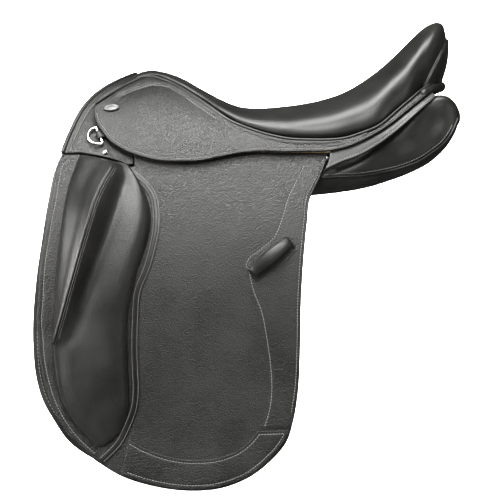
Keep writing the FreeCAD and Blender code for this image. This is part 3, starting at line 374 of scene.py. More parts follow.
def stitches(piece, path, normals, pitch=STITCH_PITCH, size=0.42, share=0.68, slant=9.0, lift=0.12):
    """Thread along a 3-D path: one short rounded bead for each stitch."""
    path, normals = np.array(path, float), np.array(normals, float)
    s = lengths(path)
    count = int(s[-1] / pitch)
    if count < 1:
        return piece
    mids = (np.arange(count) + 0.5) * s[-1] / count
    half = 0.5 * share * s[-1] / count

    def at(values):
        return np.stack([np.interp(values, s, path[:, i]) for i in range(3)], axis=1)

    centre, ahead, behind = at(mids), at(mids + half), at(mids - half)
    normal = np.stack([np.interp(mids, s, normals[:, i]) for i in range(3)], axis=1)
    normal /= np.linalg.norm(normal, axis=1)[:, None]
    along = ahead - behind
    along /= np.maximum(1e-9, np.linalg.norm(along, axis=1))[:, None]
    across = np.cross(normal, along)
    tilt = math.radians(slant)
    direction = along * math.cos(tilt) + across * math.sin(tilt)
    aside = np.cross(normal, direction)
    rings = (
        (-1.0, 0.0, -0.6), (-0.9, 0.7, -0.25), (-0.45, 1.0, 0.15),
        (0.45, 1.0, 0.15), (0.9, 0.7, -0.25), (1.0, 0.0, -0.6),
    )
    verts, faces, base = [], [], 0
    for c, d, a, n in zip(centre, direction, aside, normal):
        ids = []
        for along_share, width, rise in rings:
            p = c + d * (along_share * half) + n * (lift + rise * size)
            if width == 0:
                ids.append([base])
                verts.append(p)
                base += 1
                continue
            ring = []
            for k in range(6):
                t = k * math.pi / 3
                verts.append(p + width * size * (math.cos(t) * a + math.sin(t) * n))
                ring.append(base)
                base += 1
            ids.append(ring)
        for first, second in zip(ids, ids[1:]):
            for k in range(6):
                j = (k + 1) % 6
                if len(first) == 1:
                    faces.append((first[0], second[j], second[k]))
                elif len(second) == 1:
                    faces.append((first[k], first[j], second[0]))
                else:
                    faces.append((first[k], first[j], second[j], second[k]))
    return piece.add(verts, faces)


def side_stitches(piece, xz, offset, ref=None, **kw):
    line = resample(xz, 2.0)
    points, normals = on_side(line, offset, ref)
    return stitches(piece, points, normals, **kw)


def place(obj, body, stands_for=()):
    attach(obj, body)
    if stands_for:
        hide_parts(*stands_for)
    return obj


def both(piece, name, material, body, stands_for=()):
    """A left-hand piece and its mirror image. In body and stands_for, {} stands for the side."""
    made = []
    for word, sign in SIDES:
        obj = piece.make(f"{name}_{word}", material, sign)
        place(obj, body.format(word), [n.format(word) for n in stands_for])
        made.append(obj)
    return made

# ---- materials ------------------------------------------------------------------------------------


def material(name, base, rough, metallic=0.0, **sockets):
    """A surface with its nodes, and the shader to link them to."""
    mat = bpy.data.materials.new(name)
    mat.use_nodes = True
    nodes, links = mat.node_tree.nodes, mat.node_tree.links
    shader = nodes["Principled BSDF"]
    shader.inputs["Base Color"].default_value = (*base, 1)
    shader.inputs["Roughness"].default_value = rough
    shader.inputs["Metallic"].default_value = metallic
    for key, value in sockets.items():
        shader.inputs[key.replace("_", " ")].default_value = value
    MATERIALS[name] = mat
    return mat, nodes, links, shader


def texture(nodes, links, kind, scale, **kw):
    """A procedural texture in the object's own coordinates."""
    coords = nodes.get("Texture Coordinate") or nodes.new("ShaderNodeTexCoord")
    tex = nodes.new(kind)
    tex.inputs["Scale"].default_value = scale
    for key, value in kw.items():
        if key in tex.inputs:
            tex.inputs[key].default_value = value
        else:
            setattr(tex, key, value)
    links.new(coords.outputs["Object"], tex.inputs["Vector"])
    return tex


def remap(nodes, links, source, low, high, to_low, to_high):
    node = nodes.new("ShaderNodeMapRange")
    links.new(source, node.inputs["Value"])
    for key, value in zip(("From Min", "From Max", "To Min", "To Max"), (low, high, to_low, to_high)):
        node.inputs[key].default_value = value
    return node.outputs["Result"]


def bump(nodes, links, shader, height, distance, strength=1.0, before=None):
    node = nodes.new("ShaderNodeBump")
    node.inputs["Distance"].default_value = distance
    node.inputs["Strength"].default_value = strength
    links.new(height, node.inputs["Height"])
    if before is not None:
        links.new(before, node.inputs["Normal"])
    links.new(node.outputs["Normal"], shader.inputs["Normal"])
    return node.outputs["Normal"]


def leather(name, tone, rough, cell, grain, mottle=0.00030, vary=1.0):
    """Pebbled leather: pores, a coarser unevenness that catches the light, and rubbed edges."""
    mat, nodes, links, shader = material(name, (tone, tone, tone), rough, Specular_IOR_Level=0.5)
    pores = texture(nodes, links, "ShaderNodeTexVoronoi", 1 / cell, Randomness=0.9)
    pores.feature = "F1"
    fine = texture(nodes, links, "ShaderNodeTexNoise", 0.9 / cell, Detail=3.0, Roughness=0.6)
    broad = texture(nodes, links, "ShaderNodeTexNoise", 150.0, Detail=4.0, Roughness=0.62)
    slow = texture(nodes, links, "ShaderNodeTexNoise", 22.0, Detail=3.0, Roughness=0.5)
    first = bump(nodes, links, shader, broad.outputs["Fac"], mottle, 1.0)
    second = bump(nodes, links, shader, fine.outputs["Fac"], grain * 0.8, 1.0, first)
    pebbles = remap(nodes, links, pores.outputs["Distance"], 0.0, 0.7, 0.0, 1.0)
    bump(nodes, links, shader, pebbles, grain, 0.9, second)
    spread = remap(nodes, links, slow.outputs["Fac"], 0.3, 0.7, rough - 0.05 * vary, rough + 0.06 * vary)
    add = nodes.new("ShaderNodeMath")
    add.operation = "ADD"
    links.new(spread, add.inputs[0])
    links.new(remap(nodes, links, broad.outputs["Fac"], 0.3, 0.7, -0.05 * vary, 0.05 * vary), add.inputs[1])
    links.new(add.outputs[0], shader.inputs["Roughness"])
    mix = nodes.new("ShaderNodeMix")
    mix.data_type = "RGBA"
    mix.inputs["A"].default_value = (tone * 0.78, tone * 0.78, tone * 0.70, 1)
    mix.inputs["B"].default_value = (tone * 1.3, tone * 1.29, tone * 1.15, 1)
    links.new(remap(nodes, links, slow.outputs["Fac"], 0.35, 0.65, 0.0, 1.0), mix.inputs["Factor"])
    worn = nodes.new("ShaderNodeMix")
    worn.data_type = "RGBA"
    geometry_node = nodes.new("ShaderNodeNewGeometry")
    links.new(remap(nodes, links, geometry_node.outputs["Pointiness"], 0.56, 0.70, 0.0, 0.3), worn.inputs["Factor"])
    links.new(mix.outputs["Result"], worn.inputs["A"])
    worn.inputs["B"].default_value = (tone * 2.6, tone * 2.5, tone * 2.4, 1)
    links.new(worn.outputs["Result"], shader.inputs["Base Color"])
    return mat


def metal(name, tone, rough, scratch=0.00002, tint=(1, 1, 1)):
    """Bare or plated metal with fine handling marks."""
    mat, nodes, links, shader = material(name, tuple(tone * c for c in tint), rough, 1.0)
    haze = texture(nodes, links, "ShaderNodeTexNoise", 260.0, Detail=5.0, Roughness=0.7)
    marks = texture(nodes, links, "ShaderNodeTexNoise", 1500.0, Detail=2.0, Roughness=0.5)
    dull = remap(nodes, links, haze.outputs["Fac"], 0.3, 0.7, max(0.03, rough - 0.06), rough + 0.1)
    links.new(dull, shader.inputs["Roughness"])
    bump(nodes, links, shader, marks.outputs["Fac"], scratch, 0.8)
    return mat


def fabric(name, tone, thread, rough=0.9, tint=(1, 1, 1)):
    """Woven web: two sets of threads crossing."""
    mat, nodes, links, shader = material(name, tuple(tone * c for c in tint), rough, Sheen_Weight=0.3, Sheen_Roughness=0.5)
    weft = texture(nodes, links, "ShaderNodeTexWave", 1 / thread, bands_direction="X", Distortion=0.6, Detail=1.0)
    warp = texture(nodes, links, "ShaderNodeTexWave", 1 / thread, bands_direction="Y", Distortion=0.6, Detail=1.0)
    product = nodes.new("ShaderNodeMath")
    product.operation = "MULTIPLY"
    links.new(weft.outputs["Fac"], product.inputs[0])
    links.new(warp.outputs["Fac"], product.inputs[1])
    bump(nodes, links, shader, product.outputs[0], 0.0004, 1.0)
    mix = nodes.new("ShaderNodeMix")
    mix.data_type = "RGBA"
    mix.inputs["A"].default_value = (*(tone * 0.7 * c for c in tint), 1)
    mix.inputs["B"].default_value = (*(tone * 1.1 * c for c in tint), 1)
    links.new(product.outputs[0], mix.inputs["Factor"])
    links.new(mix.outputs["Result"], shader.inputs["Base Color"])
    return mat


leather("flap_grain", 0.013, 0.39, 0.0019, 0.00055, mottle=0.00025)
leather("skirt_grain", 0.014, 0.37, 0.0018, 0.00045, mottle=0.00022)
leather("calf", 0.013, 0.35, 0.0012, 0.00008, mottle=0.00008, vary=0.25)
leather("block_calf", 0.015, 0.36, 0.0013, 0.00018, mottle=0.00012, vary=0.25)
leather("edge_leather", 0.010, 0.36, 0.0010, 0.00006, mottle=0.00020)
leather("strap_hide", 0.020, 0.42, 0.0012, 0.00008, mottle=0.00025)
metal("chrome_plate", 0.80, 0.10)
metal("badge_metal", 0.12, 0.42, 0.00012)
metal("forged_steel", 0.50, 0.30, 0.00005)
metal("spring_plate", 0.32, 0.42, 0.00006, (0.95, 0.98, 1.05))
fabric("linen_web", 0.42, 0.0016, tint=(1.0, 0.93, 0.78))
fabric("cotton_web", 0.30, 0.0013, tint=(1.0, 0.96, 0.88))
_, nodes, links, shader = material("thread", (0.20, 0.20, 0.185), 0.6, Sheen_Weight=0.2)
ply = texture(nodes, links, "ShaderNodeTexNoise", 2600.0, Detail=2.0)
bump(nodes, links, shader, ply.outputs["Fac"], 0.00008, 0.8)
_, nodes, links, shader = material("laminate", (0.42, 0.30, 0.17), 0.38, Coat_Weight=0.3, Coat_Roughness=0.2)
rings = texture(nodes, links, "ShaderNodeTexWave", 90.0, bands_direction="Z", Distortion=3.5, Detail=3.0)
ramp = nodes.new("ShaderNodeMix")
ramp.data_type = "RGBA"
ramp.inputs["A"].default_value = (0.30, 0.19, 0.10, 1)
ramp.inputs["B"].default_value = (0.52, 0.38, 0.23, 1)
links.new(rings.outputs["Fac"], ramp.inputs["Factor"])
links.new(ramp.outputs["Result"], shader.inputs["Base Color"])
bump(nodes, links, shader, rings.outputs["Fac"], 0.0001, 0.5)

CARRIED = {
    "tree_frame": "laminate", "head_plate": "spring_plate", "gullet_plate": "spring_plate",
    "cantle_plate": "spring_plate", "spring_rails": "spring_plate", "tree_rivets": "forged_steel",
    "bar_rivets": "forged_steel", "catch_pins": "forged_steel", "stirrup_bar_left": "forged_steel",
    "stirrup_bar_right": "forged_steel", "bar_catch_left": "forged_steel", "bar_catch_right": "forged_steel",
    "dee_ring_left": "chrome_plate", "dee_ring_right": "chrome_plate",
}
for node_name, look in CARRIED.items():
    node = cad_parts[node_name]
    node.data.materials.clear()
    node.data.materials.append(MATERIALS[look])

# ---- flaps ----------------------------------------------------------------------------------------

FLAP_IN, FLAP_OUT = 12.5, 16.5
TRIM_IN, TRIM_OUT = 16.6, 18.2
SKIRT_IN, SKIRT_OUT = 21.6, 25.0

FRONT = [
    (-227, 54), (-233, 46), (-240, 21), (-244, -5), (-249, -31), (-253, -57), (-257, -83), (-259, -108),
    (-260, -134), (-262, -160), (-260, -186), (-258, -212), (-253, -238), (-245, -264), (-233, -289), (-213, -316),
    (-186, -341),
]
FOOT = [
    (-186, -341), (-155, -360), (-116, -373), (-65, -380), (-26, -377), (13, -362), (39, -342), (61, -315),
    (69, -289), (75, -251), (78, -186), (79, -134), (82, -83), (87, -31), (90, -5), (102, 21), (112, 46),
]
TOP = [
    (113, 56.5), (-136.8, 56.5), (-136.8, 39.2), (-145, 38.2), (-155, 42.6), (-168, 46.6), (-181, 49.6),
    (-207, 54.2), (-227, 54),
]
outline = run(FRONT, FOOT, [FOOT[-1], TOP[0]], TOP[:2], TOP[1:3], TOP[2:], step=3.0)
front_line = beside(run(FRONT, step=3.0), 6.5)
rear_line = beside(run(FOOT[8:], step=3.0), 4.5)
PATCH_TOP = [
    (-143, -314), (-129, -322), (-103, -333), (-77, -339), (-52, -340), (-26, -337), (0, -326), (13, -315), (23, -303),
]
PATCH_FOOT = [(64, -302), (58, -315), (37, -340), (12, -360), (-27, -375), (-65, -378), (-115, -371), (-153, -359)]
BAND = [
    (-139, 36), (-129, 29), (-113, 13), (-106, 0), (-103.5, -15), (-103.5, -44), (-107, -63), (-115, -93),
    (-127, -124), (-130, -160), (-130, -225), (-129, -244), (-132, -276), (-142, -302), (-150, -318), (-176, -346),
]
flap_grooves = [(front_line[2:-2], 0.7, 1.3), (rear_line[2:], 0.5, 1.2)]
flap = sheet(outline, FLAP_IN, FLAP_OUT, edge=1.6, cell=6.0, lines=flap_grooves)
both(flap, "flap_leather", "flap_grain", "flap_{}_body", ["flap_{}"])

patch_outline = run(PATCH_TOP, [PATCH_TOP[-1], PATCH_FOOT[0]], PATCH_FOOT, [PATCH_FOOT[-1], PATCH_TOP[0]], step=3.0)
patch_top_line = beside(run(PATCH_TOP, [PATCH_TOP[-1], (62, -301.5)], step=3.0), -4.5)
patch_foot_line = beside(run(PATCH_FOOT, step=3.0), -5.0)
patch = sheet(patch_outline, TRIM_IN, TRIM_OUT, edge=0.8, cell=7.0,
              lines=[(patch_top_line[1:-3], 0.35, 1.0), (patch_foot_line[2:-2], 0.35, 1.0)])
both(patch, "flap_foot_patch", "flap_grain", "flap_{}_body", ["flap_patch_{}"])

band_line = run(BAND, step=3.0)
band_inner = beside(band_line, -10.5)
band_outline = np.vstack([band_line, band_inner[::-1]])


def cushioned(centre, half, height):
    return lambda xz: height * np.clip(1 - (distance_to(xz, centre) / half) ** 2, 0, 1)


band_mid = beside(band_line, -5.25)
band_rows = [beside(band_line, -2.0), beside(band_line, -8.5)]
band = sheet(band_outline, TRIM_IN, TRIM_OUT - 0.3, edge=0.8, cell=3.5,
             lines=[(row[1:-1], 0.4, 0.9) for row in band_rows], relief=cushioned(band_mid, 4.0, 0.5))
both(band, "flap_band", "edge_leather", "flap_{}_body", ["flap_band_{}"])

FACE_LINE = [
    (82, 44), (71, 22), (59, -3), (51, -30), (41, -52), (25, -66), (9, -79), (5, -88), (9, -100), (14, -121),
    (25, -150), (32, -186), (37, -225), (38, -250), (35, -276), (28, -299),
]
FACE_REAR = [(65, -299), (71, -262), (74, -186), (75, -134), (78, -83), (83, -31), (86, -5), (97, 20), (106, 44)]
face_outline = run(FACE_LINE, [FACE_LINE[-1], FACE_REAR[0]], FACE_REAR, [FACE_REAR[-1], FACE_LINE[0]], step=3.0)
face_line = beside(run(FACE_LINE, step=3.0), 3.0)
face = sheet(face_outline, TRIM_IN, TRIM_OUT - 0.4, edge=0.7, cell=7.0, lines=[(face_line[1:-1], 0.4, 1.0)])
both(face, "flap_rear_facing", "flap_grain", "flap_{}_body", ["flap_facing_{}"])

thread = Piece()
side_stitches(thread, front_line[2:-2], FLAP_OUT - 0.5, FLAP_OUT)
side_stitches(thread, rear_line[3:], TRIM_OUT - 0.3, TRIM_OUT)
side_stitches(thread, patch_top_line[1:-2], TRIM_OUT - 0.25, TRIM_OUT)
side_stitches(thread, patch_foot_line[2:-2], TRIM_OUT - 0.25, TRIM_OUT)
side_stitches(thread, face_line[1:-1], TRIM_OUT - 0.6, TRIM_OUT)
for row in band_rows:
    side_stitches(thread, row[1:-1], TRIM_OUT - 0.45, TRIM_OUT, pitch=3.0, size=0.38)
both(thread, "flap_thread", "thread", "flap_{}_body")

# ---- knee blocks ----------------------------------------------------------------------------------

# share of the way down, then front edge, crest, valley, pad, rear edge as (x, z), heights of crest, valley, pad
BLOCK = [
    ((-207, 53), (-176, 47), (-160, 43), (-150, 41), (-143, 38.5), 3, 3, 3),
    ((-210, 47), (-164, 38), (-151, 33), (-144, 31), (-137, 29), 13, 8, 7),
    ((-213, 38), (-164, 27), (-149, 21), (-140, 19), (-129, 17), 22, 12, 10),
    ((-219, 22), (-173, 8), (-154, 2), (-138, 0), (-120, -2), 32, 14, 14),
    ((-226, -8), (-184, -16), (-161, -22), (-139, -23), (-115, -25), 39, 14.5, 17),
    ((-231, -44), (-196, -52), (-173, -56), (-147, -58), (-119.5, -60), 41, 14, 18),
    ((-235, -80), (-208, -89), (-188, -93), (-160, -95), (-132, -97), 38, 13, 18),
    ((-238, -112), (-217, -118), (-199, -122), (-170, -124), (-139, -126), 33, 13, 18),
    ((-240, -142), (-226, -148), (-208, -152), (-179, -152), (-144, -152), 27, 13.5, 18),
    ((-241, -170), (-234, -176), (-216, -180), (-186, -178), (-144.5, -176), 21, 15, 18.5),
    ((-241, -196), (-239, -196), (-221, -198), (-190, -197), (-144.5, -198), 14, 17, 19),
    ((-239.5, -220), (-237.5, -220), (-219, -220), (-189, -220), (-143.5, -222), 11, 16.5, 19),
    ((-236, -246), (-234, -246), (-215, -246), (-187, -247), (-142.5, -248), 10, 15, 17.5),
    ((-229, -268), (-227, -268), (-209, -269), (-184, -271), (-143, -274), 9, 13, 15),
    ((-217, -288), (-215, -288), (-199, -290), (-179, -293), (-149, -294), 8, 10, 12),
    ((-202, -306), (-200, -306), (-190, -308), (-176, -310), (-159, -310), 6, 7, 8),
    ((-188, -322), (-187, -322), (-183, -322), (-179, -322), (-174, -321), 3, 3.4, 3.4),
]
BLOCK_SEAT = TRIM_IN + 0.1
table = np.array([[*sum((list(c) for c in row[:5]), []), *row[5:]] for row in BLOCK], float)
table = resample(smooth(table, 10), 2.2)


def block_row(row):
    """One row across the block: 2-D places and heights."""
    front, crest, valley, pad, rear = (row[2 * k:2 * k + 2] for k in range(5))
    hc, hv, hp = row[10:13]
    lead = 0.5 * (front + crest)
    span = np.linalg.norm(crest - front)
    hl = min(hc, 0.62 * hc + 0.2 * min(span, 12))
    rim = 0.16 * min(hp, hl)
    stations = [
        (front, 0.0), (front + (crest - front) * min(0.22, 3.0 / max(span, 3.0)), 0.42 * hl + rim),
        (lead, hl), (front + 0.82 * (crest - front), 0.93 * hc), (crest, hc),
        (crest + 0.30 * (valley - crest), 0.80 * hc + 0.20 * hv),
        (crest + 0.66 * (valley - crest), 0.34 * hc + 0.66 * hv),
        (valley, hv), (0.5 * (valley + pad), 0.42 * hv + 0.58 * hp), (pad, hp),
        (pad + 0.55 * (rear - pad), 0.93 * hp), (pad + 0.84 * (rear - pad), 0.62 * hp),
        (pad + 0.96 * (rear - pad), 0.28 * hp), (rear, 0.0),
    ]
    line = np.array([(*place_, height) for place_, height in stations])
    return smooth(line, 5)


rows = np.array([block_row(row) for row in table])
for _ in range(2):
    rows[1:-1] = (rows[:-2] + 2 * rows[1:-1] + rows[2:]) / 4
    rows[:, 2:-2, 2] = (rows[:, 1:-3, 2] + 2 * rows[:, 2:-2, 2] + rows[:, 3:-1, 2]) / 4
flat = rows.reshape(-1, 3)
top, _ = on_side(flat[:, :2], BLOCK_SEAT + np.maximum(flat[:, 2], 0), BLOCK_SEAT)
under, _ = on_side(flat[:, :2], BLOCK_SEAT, BLOCK_SEAT)
n, m = rows.shape[:2]
block = Piece().grid(top.reshape(n, m, 3))
base_rows = under.reshape(n, m, 3)
block.grid(base_rows, flip=True)
for ring_top, ring_base in ((top.reshape(n, m, 3)[0], base_rows[0]), (top.reshape(n, m, 3)[-1], base_rows[-1])):
    block.grid([ring_top, ring_base])
both(block, "knee_block", "block_calf", "flap_{}_body",
     ["knee_block_cover_{}", "knee_block_foam_{}"])

crest_at = 4 * 5
crest_rows = [k for k, row in enumerate(table) if row[10] > 15.5][2:]
piping = Piece()
ridge_path = top.reshape(n, m, 3)[crest_rows, crest_at]
ridge_path = resample(ridge_path, 4.0)
u, v, t = frames(ridge_path)
out = np.array([0, -1.0, 0.15])
aside = np.cross(t, out)
aside /= np.linalg.norm(aside, axis=1)[:, None]
lift = np.cross(aside, t)
lift *= np.sign((lift @ out))[:, None]
for shift in (-1.5, 1.5):
    tube(piping, ridge_path + aside * shift + lift * 0.35, 1.25, sides=10)
both(piping, "knee_block_piping", "edge_leather", "flap_{}_body", ["knee_block_piping_{}"])
ridge_thread = Piece()
for shift in (-3.4, 3.4):
    stitches(ridge_thread, (ridge_path + aside * shift - lift * 0.5)[2:-2], lift[2:-2], pitch=3.2, size=0.34)
both(ridge_thread, "knee_block_thread", "thread", "flap_{}_body")

# ---- layers behind the flaps ----------------------------------------------------------------------

SWEAT = [
    (-231, 56), (-240, 34), (-248, -5), (-256, -57), (-263, -108), (-267, -160), (-267, -192), (-262, -238),
    (-254, -264), (-240, -289), (-222, -315), (-187, -340), (-155, -354), (-116, -364), (-65, -370), (-26, -366),
    (12, -350), (36, -328), (56, -300), (66, -260), (70, -186), (72, -83), (80, -5), (92, 30), (98, 56),
]
sweat_line = run(SWEAT, step=5.0)
sweat = sheet(run(SWEAT, [SWEAT[-1], SWEAT[0]], step=4.0), 0.0, 2.5, edge=1.1, cell=11.0)
both(sweat, "sweat_flap", "strap_hide", "saddle", ["sweat_flap_{}"])
sweat_thread = Piece()
side_stitches(sweat_thread, beside(sweat_line, 6.0)[2:-2], 2.5, pitch=5.0)
both(sweat_thread, "sweat_flap_thread", "thread", "saddle")

BINDING = [(116, 58), (142, 70), (168, 82), (194, 98), (220, 119), (246, 142)]
BINDING_LOW = [(256, 131), (233, 111), (207, 88), (181, 68), (155, 53), (129, 43), (109, 33.5)]
binding_line = beside(run(BINDING_LOW, step=3.0), -3.0)
binding = sheet(
    run(BINDING, [BINDING[-1], BINDING_LOW[0]], BINDING_LOW, [BINDING_LOW[-1], (114.5, 47), BINDING[0]], step=3.0),
    18.0, 21.0, cell=6.0, lines=[(binding_line[1:-1], 0.4, 1.0)],
)
both(binding, "skirt_binding", "edge_leather", "saddle", ["skirt_binding_{}"])
binding_thread = Piece()
side_stitches(binding_thread, binding_line[2:-1], 20.7, 21.0)
both(binding_thread, "skirt_binding_thread", "thread", "saddle")

POCKET = [(-211, 58), (-213, 30), (-209, 2), (-188, -10), (-167, 2), (-163, 30), (-163, 58)]
pocket = sheet(run(POCKET, [POCKET[-1], POCKET[0]], step=3.0), -5.0, -3.0, cell=9.0)
pockets = both(pocket, "point_pocket", "strap_hide", "saddle")
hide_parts("point_pockets")

STRAP_X = {"front": -50.0, "rear": 45.0}
for station, middle in STRAP_X.items():
    half = 12.5
    tip = [(middle - half, -288), (middle - 8, -296), (middle, -300), (middle + 8, -296), (middle + half, -288)]
    head = [(middle + half, 65), (middle - half, 65)]
    outline = run([head[1], tip[0]], tip, [tip[-1], head[0]], head)
    turn = np.linspace(0, -2 * math.pi, 18, endpoint=False)
    punches = [
        np.stack([middle + 2.5 * np.cos(turn), -280 + 25 * k + 2.5 * np.sin(turn)], axis=1) for k in range(6)
    ]
    rows = [[(middle - 9.5, 60), (middle - 9.5, -284)], [(middle + 9.5, 60), (middle + 9.5, -284)]]
    strap = sheet(outline, 5.5, 9.5, edge=1.2, cell=6.0, holes=punches)
    body = "girth_strap_" + station + "_{}_body"
    both(strap, f"girth_strap_{station}", "strap_hide", body, ["girth_strap_" + station + "_{}"])
    strap_thread = Piece()
    for row in rows:
        side_stitches(strap_thread, resample(row, 3.0), 9.5, pitch=4.2)
    both(strap_thread, f"girth_strap_{station}_thread", "thread", body)

# ---- webs under the seat --------------------------------------------------------------------------


def shell(piece, rows, thickness):
    """A net of points given a thickness to its back, its two side edges rounded over and its ends closed flat."""
    rows = np.array(rows, float)
    normal = np.cross(np.gradient(rows, axis=0), np.gradient(rows, axis=1))
    normal /= np.maximum(1e-9, np.linalg.norm(normal, axis=2))[..., None]
    back = rows - normal * thickness
    middle = rows - normal * thickness / 2
    side_a = np.gradient(rows, axis=1)
    side_a /= np.maximum(1e-9, np.linalg.norm(side_a, axis=2))[..., None]
    bulge = thickness * 0.42
    left = middle[:, 0] - side_a[:, 0] * bulge
    right = middle[:, -1] + side_a[:, -1] * bulge
    rings = [
        np.vstack([row, right[k][None], under[::-1], left[k][None]])
        for k, (row, under) in enumerate(zip(rows, back))
    ]
    base = len(piece.verts)
    piece.grid(rings, closed_across=True)
    m = rows.shape[1]
    size = 2 * m + 2
    for first, turned in ((base, False), (base + (len(rings) - 1) * size, True)):
        faces = []
        for j in range(m - 1):
            a, b = first + j, first + j + 1
            c, d = first + 2 * m - j - 1, first + 2 * m - j
            faces.append((a, b, c, d))
        faces.append((first + m - 1, first + m, first + m + 1))
        faces.append((first + 2 * m + 1, first, first + 2 * m))
        piece.faces += [tuple(reversed(f)) if not turned else f for f in faces]
    return piece


WEB = [
    (-62, 74, 93), (-39, 74, 89.5), (-13, 76, 86.5), (13, 76, 80), (39, 78, 76.5), (90, 80, 73), (125, 78, 74),
    (150, 70, 82),
]
web_rows = []
for x, half, z in resample(smooth(WEB, 5), 6.0):
    across = np.linspace(-1, 1, 17)
    web_rows.append([(x, half * s, z) for s in across])
web = shell(Piece(), web_rows, 1.6)
place(web.make("seat_web", "linen_web"), "saddle", ["seat_webbing"])

girth_web = Piece()
for middle, height in ((-50.0, 98.5), (45.0, 81.0)):
    half_line = [(0, height), (-70, height - 1)]
    for z in (height - 7, height - 14):
        half_line.append((side(z, 0.5)[0], z))
    half_line.append((side(63, 4.2)[0], 63))
    line = np.array(half_line, float)
    line = np.vstack([line[::-1], (line * np.array([-1, 1]))[1:]])
    line = resample(smooth(line, 5), 5.0)
    net = [[(middle + dx, y, z) for dx in np.linspace(-11.5, 11.5, 7)] for y, z in line]
    shell(girth_web, net, 1.3)
place(girth_web.make("girth_web", "cotton_web"), "saddle", ["girth_webs"])

# ---- pommel facing --------------------------------------------------------------------------------

FACING_FRONT = [
    (-231.5, 55.6), (-228, 66), (-220, 86), (-208.5, 110), (-196, 127.5), (-183, 139), (-170, 147.5), (-157, 154.5),
    (-146, 159.5), (-139, 162.4),
]
FACING_BACK = [
    (-139, 162.4), (-134.4, 162.8), (-134.4, 120), (-153, 100), (-153, 64), (-137.8, 62), (-137.8, 41), (-145, 40.2),
    (-155, 44.6), (-168, 48.6), (-181, 51.6), (-207, 56.2), (-231.5, 55.6),
]
facing_stitch = beside(run(FACING_FRONT, step=3.0), -9.5)
facing_hem = beside(run(FACING_BACK[7:], step=3.0), -3.0)


def facing_relief(xz):
    """The leather swells gently between its hem and the roll."""
    return 0.9 * np.clip(distance_to(xz, facing_stitch) / 14, 0, 1) * (xz[:, 0] > -500)


legs = [FACING_FRONT, *[[a, b] for a, b in zip(FACING_BACK, FACING_BACK[1:])]]
pommel = sheet(
    run(*legs, step=3.0), 10.0, 13.0, edge=1.0, cell=4.5, relief=facing_relief,
    lines=[(facing_stitch[2:-6], 0.5, 1.2), (facing_hem[3:-3], 0.4, 1.0)],
)
pommel.verts[:, 1] = np.minimum(pommel.verts[:, 1], -0.02)
both(pommel, "pommel_facing", "skirt_grain", "saddle")
roll_line = beside(run(FACING_FRONT, step=3.0), -1.4)
roll_points, _ = on_side(roll_line[1:], 12.2, 13.0)
roll_points[:, 1] = np.minimum(roll_points[:, 1], 0)
roll_points = roll_points[roll_points[:, 1] < -4]
mirror = roll_points[::-1] * np.array([1, -1, 1])
bridge = np.array([(roll_points[-1][0] + 1.5, 0, roll_points[-1][2] + 0.6)])
roll_line = np.vstack([roll_points[::3], bridge, (mirror[::-1][::3])[::-1]])
roll = tube(Piece(), resample(smooth(roll_line, 6), 3.0), 3.1, sides=12)
place(roll.make("pommel_roll", "edge_leather"), "saddle", ["pommel_facing"])
pommel_thread = Piece()
side_stitches(pommel_thread, facing_stitch[2:-6], 12.9, 13.0)
side_stitches(pommel_thread, facing_hem[4:-3], 12.9, 13.0)
both(pommel_thread, "pommel_thread", "thread", "saddle")

# ---- skirts and welts -----------------------------------------------------------------------------

SEAM = [
    (-187, 121), (-168, 134), (-142, 149), (-119, 157), (-97, 152), (-65, 134), (-39, 116), (-13, 98), (13, 87),
    (39, 79), (65, 74), (90, 73), (116, 73), (136, 75), (155, 81), (181, 92), (194, 102.5), (207, 114), (220, 125),
    (233, 136), (243, 143.5), (252, 150),
]
SKIRT_FREE = [
    (-190, 117), (-189.5, 107), (-186.5, 97), (-177.5, 83.5), (-168.5, 72.5), (-157.5, 64.7), (-144.9, 57.8), (-128.7, 52.1),
    (-111.4, 47.4), (-82.6, 45.1), (-52, 46), (-26, 51), (0, 56), (28, 58.5), (58, 57.5), (77, 58), (116, 59),
    (142, 65), (168, 77), (194, 93), (220, 114), (250, 139),
]
CREASE = [
    (-158, 129), (-134.5, 139.5), (-111.4, 145), (-94.2, 142.5), (-82.6, 136.5), (-51.7, 115), (-26, 98), (6.8, 82),
    (36.5, 72), (66, 66.5), (86, 65.5), (115.6, 67), (142, 72), (160, 80),
]
seam_line = run(SEAM, step=3.0)
crease = run(CREASE, step=3.0)
free_line = run(SKIRT_FREE, step=3.0)
skirt_stitch = beside(free_line, 3.6)
between = 0.5 * (crease + np.array([seam_line[np.argmin(np.sum((seam_line - p) ** 2, axis=1))] for p in crease]))


def skirt_relief(xz):
    """A raised rib between the seam and the crease, and a soft pad below it."""
    rib = 1.7 * np.clip(1 - (distance_to(xz, between) / 6.0) ** 2, 0, 1)
    away = distance_to(xz, free_line)
    near_dee = np.clip((xz[:, 0] + 165) / 35, 0, 1)
    pad = 2.2 * near_dee * np.clip((away - 5) / 26, 0, 1) ** 1.2 * np.clip(distance_to(xz, crease) / 14, 0.15, 1)
    return np.maximum(rib, pad)


